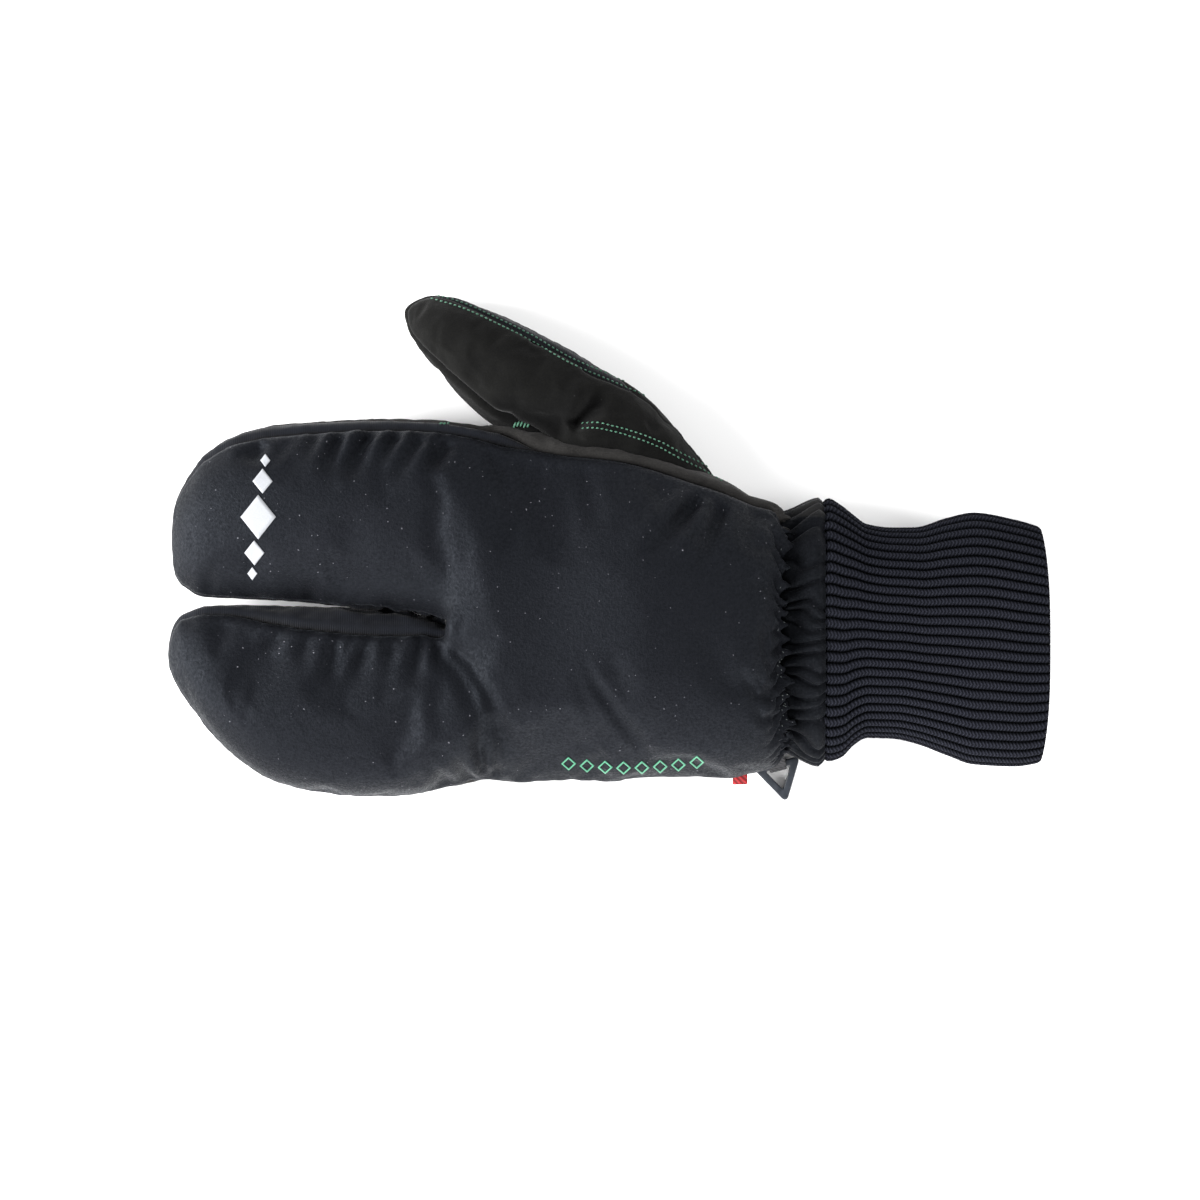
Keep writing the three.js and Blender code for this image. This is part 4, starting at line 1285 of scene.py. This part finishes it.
# ---- materials
class Finish:
    def __init__(self, name):
        self.material = bpy.data.materials.new(name)
        self.material.use_nodes = True
        self.nodes = self.material.node_tree.nodes
        self.links = self.material.node_tree.links
        self.shader = self.nodes["Principled BSDF"]

    def add(self, kind, settings=None, **inputs):
        node = self.nodes.new("ShaderNode" + kind)
        for key, value in (settings or {}).items():
            setattr(node, key, value)
        for key, value in inputs.items():
            self.put(node, key, value)
        return node

    def put(self, node, key, value):
        name = int(key[1:]) if key[0] == "_" else key.replace("_", " ")
        if isinstance(value, bpy.types.NodeSocket):
            self.links.new(value, node.inputs[name])
        else:
            node.inputs[name].default_value = value

    def shade(self, **inputs):
        for key, value in inputs.items():
            self.put(self.shader, key, value)

    def places(self):
        return self.add("TexCoord").outputs["Object"]

    def noise(self, scale, detail=2, rough=0.5):
        made = self.add("TexNoise", Vector=self.places(), Scale=scale, Detail=detail, Roughness=rough)
        return made.outputs["Fac"]

    def threads(self, direction, scale, wander=0.0):
        settings = {"wave_type": "BANDS", "bands_direction": direction}
        made = self.add("TexWave", settings, Vector=self.places(), Scale=scale, Distortion=wander)
        return made.outputs["Fac"]

    def sum(self, kind, a, b=0.0):
        return self.add("Math", {"operation": kind}, _0=a, _1=b).outputs[0]

    def ramp(self, fac, low, high, start=0.0, end=1.0):
        made = self.add("MapRange", Value=fac, From_Min=low, From_Max=high, To_Min=start, To_Max=end)
        return made.outputs["Result"]

    def blend(self, fac, a, b):
        return self.add("Mix", {"data_type": "RGBA"}, _0=fac, _6=a, _7=b).outputs[2]

    def bump(self, height, strength, distance, normal=None):
        made = self.add("Bump", Height=height, Strength=strength, Distance=distance)
        if normal is not None:
            self.put(made, "Normal", normal)
        return made.outputs["Normal"]


def colour(*screen):
    # a screen colour as light
    light = [c / 255 / 12.92 if c < 11 else ((c / 255 + 0.055) / 1.055) ** 2.4 for c in screen]
    return (*light, 1)


def lintOn(finish, base, amount, tint):
    warp = finish.add("TexNoise", Vector=finish.places(), Scale=1400.0, Detail=1.0)
    bent = finish.add("VectorMath", {"operation": "SCALE"}, _0=warp.outputs["Color"], Scale=0.0007)
    spots = finish.add("VectorMath", {"operation": "ADD"}, _0=finish.places(), _1=bent.outputs[0])
    specks = finish.add("TexVoronoi", Vector=spots.outputs[0], Scale=430.0, Randomness=1.0)
    near = finish.sum("LESS_THAN", specks.outputs["Distance"], 0.085)
    parts = finish.add("SeparateColor", Color=specks.outputs["Color"])
    few = finish.sum("GREATER_THAN", parts.outputs["Red"], 1 - amount)
    here = finish.sum("MULTIPLY", near, few)
    faint = finish.sum("MULTIPLY", here, parts.outputs["Green"])
    return finish.blend(faint, base, tint)


def withPaintedShade(finish, base):
    # painted shade: the base colour is darkened in seams and creases, and in the painted shadows beside the
    # hand
    near = finish.add("Attribute", {"attribute_name": "paintedShade"}).outputs["Fac"]
    return finish.blend(near, base, (0.0003, 0.0003, 0.0004, 1))


def softshell(name, dark, light, shine, patch=None):
    made = Finish(name)
    cloth = made.sum("MULTIPLY", made.threads("X", 640, 3), made.threads("Y", 640, 3))
    grain = made.noise(1050.0, 4, rough=0.7)
    patches = made.noise(24.0, 3)
    tone = made.sum("ADD", made.ramp(grain, 0.36, 0.64, 0, 0.75), made.ramp(patches, 0.3, 0.7, 0, 0.25))
    base = made.blend(tone, dark, light)
    if patch is not None:
        # a scrap of suede reaches over the thumb's side
        over = made.add("SeparateXYZ", Vector=made.places()).outputs["Y"]
        base = made.blend(made.ramp(over, 0.0312, 0.0322), base, patch)
    base = withPaintedShade(made, lintOn(made, base, 0.42, colour(104, 104, 110)))
    made.shade(Base_Color=base, Roughness=made.ramp(grain, 0.36, 0.64, 0.7, 0.42))
    made.shade(Specular_IOR_Level=shine, Specular_Tint=(0.74, 0.84, 1, 1))
    made.shade(Sheen_Weight=0.03, Sheen_Roughness=0.4, Sheen_Tint=(0.8, 0.88, 1, 1))
    first = made.bump(grain, 0.75, 0.0004)
    made.shade(Normal=made.bump(cloth, 0.2, 0.0001, first))
    return made.material


def suede(name, dark, light):
    made = Finish(name)
    nap = made.noise(1900.0, 4, rough=0.65)
    brushed = made.noise(90.0, 4, rough=0.6)
    tone = made.sum("ADD", made.ramp(nap, 0.3, 0.7, 0, 0.55), made.ramp(brushed, 0.3, 0.7, 0, 0.45))
    base = made.blend(tone, dark, light)
    base = withPaintedShade(made, lintOn(made, base, 0.06, colour(60, 60, 60)))
    made.shade(Base_Color=base, Roughness=0.92, Specular_IOR_Level=0.06)
    made.shade(Sheen_Weight=0.05, Sheen_Roughness=0.5)
    first = made.bump(brushed, 0.3, 0.0008)
    made.shade(Normal=made.bump(nap, 0.5, 0.0003, first))
    return made.material


def stretchCloth(name, dark, light):
    made = Finish(name)
    lines = made.threads("X", 420, 0.6)
    patches = made.noise(40.0, 3)
    tone = made.sum("ADD", made.ramp(lines, 0, 1, 0, 0.4), made.ramp(patches, 0.3, 0.7, 0, 0.6))
    base = withPaintedShade(made, made.blend(tone, dark, light))
    made.shade(Base_Color=base, Roughness=0.6, Sheen_Weight=0.05, Specular_IOR_Level=0.08)
    made.shade(Normal=made.bump(lines, 0.35, 0.0002))
    return made.material


def ribbedKnit(name, dark, light):
    made = Finish(name)
    spot = made.add("SeparateXYZ", Vector=made.add("UVMap", {"uv_map": "ribs"}).outputs["UV"])
    across = made.sum("ABSOLUTE", made.sum("SUBTRACT", made.sum("FRACT", spot.outputs["X"]), 0.5))
    rows = made.sum("MULTIPLY", spot.outputs["Y"], float(cuff["rows"]))
    slant = made.sum("ADD", rows, made.sum("MULTIPLY", across, 1.5))
    wave = made.sum("SINE", made.sum("MULTIPLY", slant, 2 * math.pi))
    stitchTone = made.ramp(wave, -1, 1)
    # 1 on a rib's crown, 0 in its groove, where painted shade darkens the base colour
    crown = made.ramp(across, 0.46, 0.2)
    fuzz = made.noise(1600.0, 4, rough=0.7)
    tone = made.sum("MULTIPLY", made.ramp(stitchTone, 0, 1, 0.3, 1), made.ramp(crown, 0, 1, 0.05, 1))
    tone = made.sum("MULTIPLY", tone, made.ramp(fuzz, 0.25, 0.75, 0.6, 1.2))
    made.shade(Base_Color=made.blend(tone, dark, light), Roughness=0.8)
    made.shade(Specular_IOR_Level=0.02, Specular_Tint=(0.8, 0.88, 1, 1))
    first = made.bump(fuzz, 0.4, 0.0003)
    made.shade(Normal=made.bump(stitchTone, 0.8, 0.0006, first))
    return made.material


def threadOf(name, tint, pale):
    made = Finish(name)
    twist = made.noise(2500.0, 2)
    made.shade(Base_Color=made.blend(twist, tint, pale), Roughness=0.6, Sheen_Weight=0.1)
    made.shade(Normal=made.bump(twist, 0.4, 0.0001))
    return made.material


def mouldedPlastic(name):
    made = Finish(name)
    wear = made.noise(700.0, 4)
    made.shade(Base_Color=made.blend(wear, colour(14, 17, 22), colour(34, 40, 49)))
    made.shade(Roughness=made.ramp(wear, 0.3, 0.7, 0.3, 0.5))
    made.shade(Normal=made.bump(made.noise(300.0, 3), 0.15, 0.0002))
    return made.material


def webbing(name, dark, light):
    made = Finish(name)
    ribs = made.threads("DIAGONAL", 320)
    fuzz = made.noise(1800.0, 3)
    tone = made.sum("MULTIPLY", ribs, made.ramp(fuzz, 0.2, 0.8, 0.5, 1))
    made.shade(Base_Color=made.blend(tone, dark, light), Roughness=0.85)
    made.shade(Normal=made.bump(ribs, 0.6, 0.0003))
    return made.material


shellFinish = softshell("softshellBack", colour(0, 0, 1), colour(10, 10, 13), 0.1)
darkShell = softshell("softshellGathered", colour(1, 1, 2), colour(8, 8, 10), 0.07, colour(26, 25, 24))
# one suede in two copies with painted light: lighter on the palm's strip where it is lit, darker on the thumb
# where it lies in shade
litSuede = suede("suedePalmPaintedLit", colour(16, 15, 15), colour(44, 43, 42))
shadedSuede = suede("suedeThumbPaintedShade", colour(2, 2, 2), colour(13, 13, 12))
gussetCloth = stretchCloth("stretchGusset", colour(3, 4, 8), colour(15, 18, 25))
stripCloth = stretchCloth("stretchStrip", colour(3, 4, 8), colour(9, 11, 18))
knit = ribbedKnit("ribbedKnit", colour(0, 0, 0), colour(35, 36, 43))
greenThread = threadOf("greenThread", colour(22, 72, 50), colour(56, 104, 82))
paleThread = threadOf("paleThread", colour(52, 58, 58), colour(80, 86, 85))
silverFilm = threadOf("silverFilm", colour(118, 120, 124), colour(134, 136, 140))
greenFilm = threadOf("greenFilm", colour(22, 96, 66), colour(34, 116, 84))
plastic = mouldedPlastic("ringPlastic")
strapCloth = webbing("strapWebbing", colour(12, 12, 14), colour(38, 38, 42))
redCloth = webbing("redLabel", colour(96, 8, 12), colour(158, 22, 28))

floorFinish = Finish("paperFloor")
paper = floorFinish.blend(floorFinish.noise(3.0, 2), (0.92, 0.92, 0.92, 1), (0.95, 0.95, 0.95, 1))
floorFinish.shade(Base_Color=paper, Roughness=0.9)
floor.data.materials.append(floorFinish.material)

pieces = [
    (backPanel, "back_panel", "softshell", shellFinish),
    (palmPanel, "palm_panel", "suede", litSuede),
    (fingerGusset, "finger_gusset", "stretch_cloth", gussetCloth),
    (thumbBack, "thumb_back", "suede", shadedSuede),
    (thumbStrip, "thumb_strip", "stretch_cloth", stripCloth),
    (thumbPalm, "thumb_palm", "suede", shadedSuede),
    (wristGather, "wrist_gather", "softshell", darkShell),
    (knitCuff, "knit_cuff", "knit", knit),
    (triangleRing, "triangle_ring", "plastic", plastic),
    (ringLoop, "ring_loop", "webbing", strapCloth),
    (labelTab, "label_tab", "label", redCloth),
    (greenStitches, None, "stretch_cloth", greenThread),
    (paleStitches, None, "stretch_cloth", paleThread),
    (silverMarks, None, "softshell", silverFilm),
    (greenMarks, None, "softshell", greenFilm),
]
for piece, node, slot, material in pieces:
    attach(piece, "root")
    if node:
        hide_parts(node)
    piece.data.materials.clear()
    piece.data.materials.append(material)
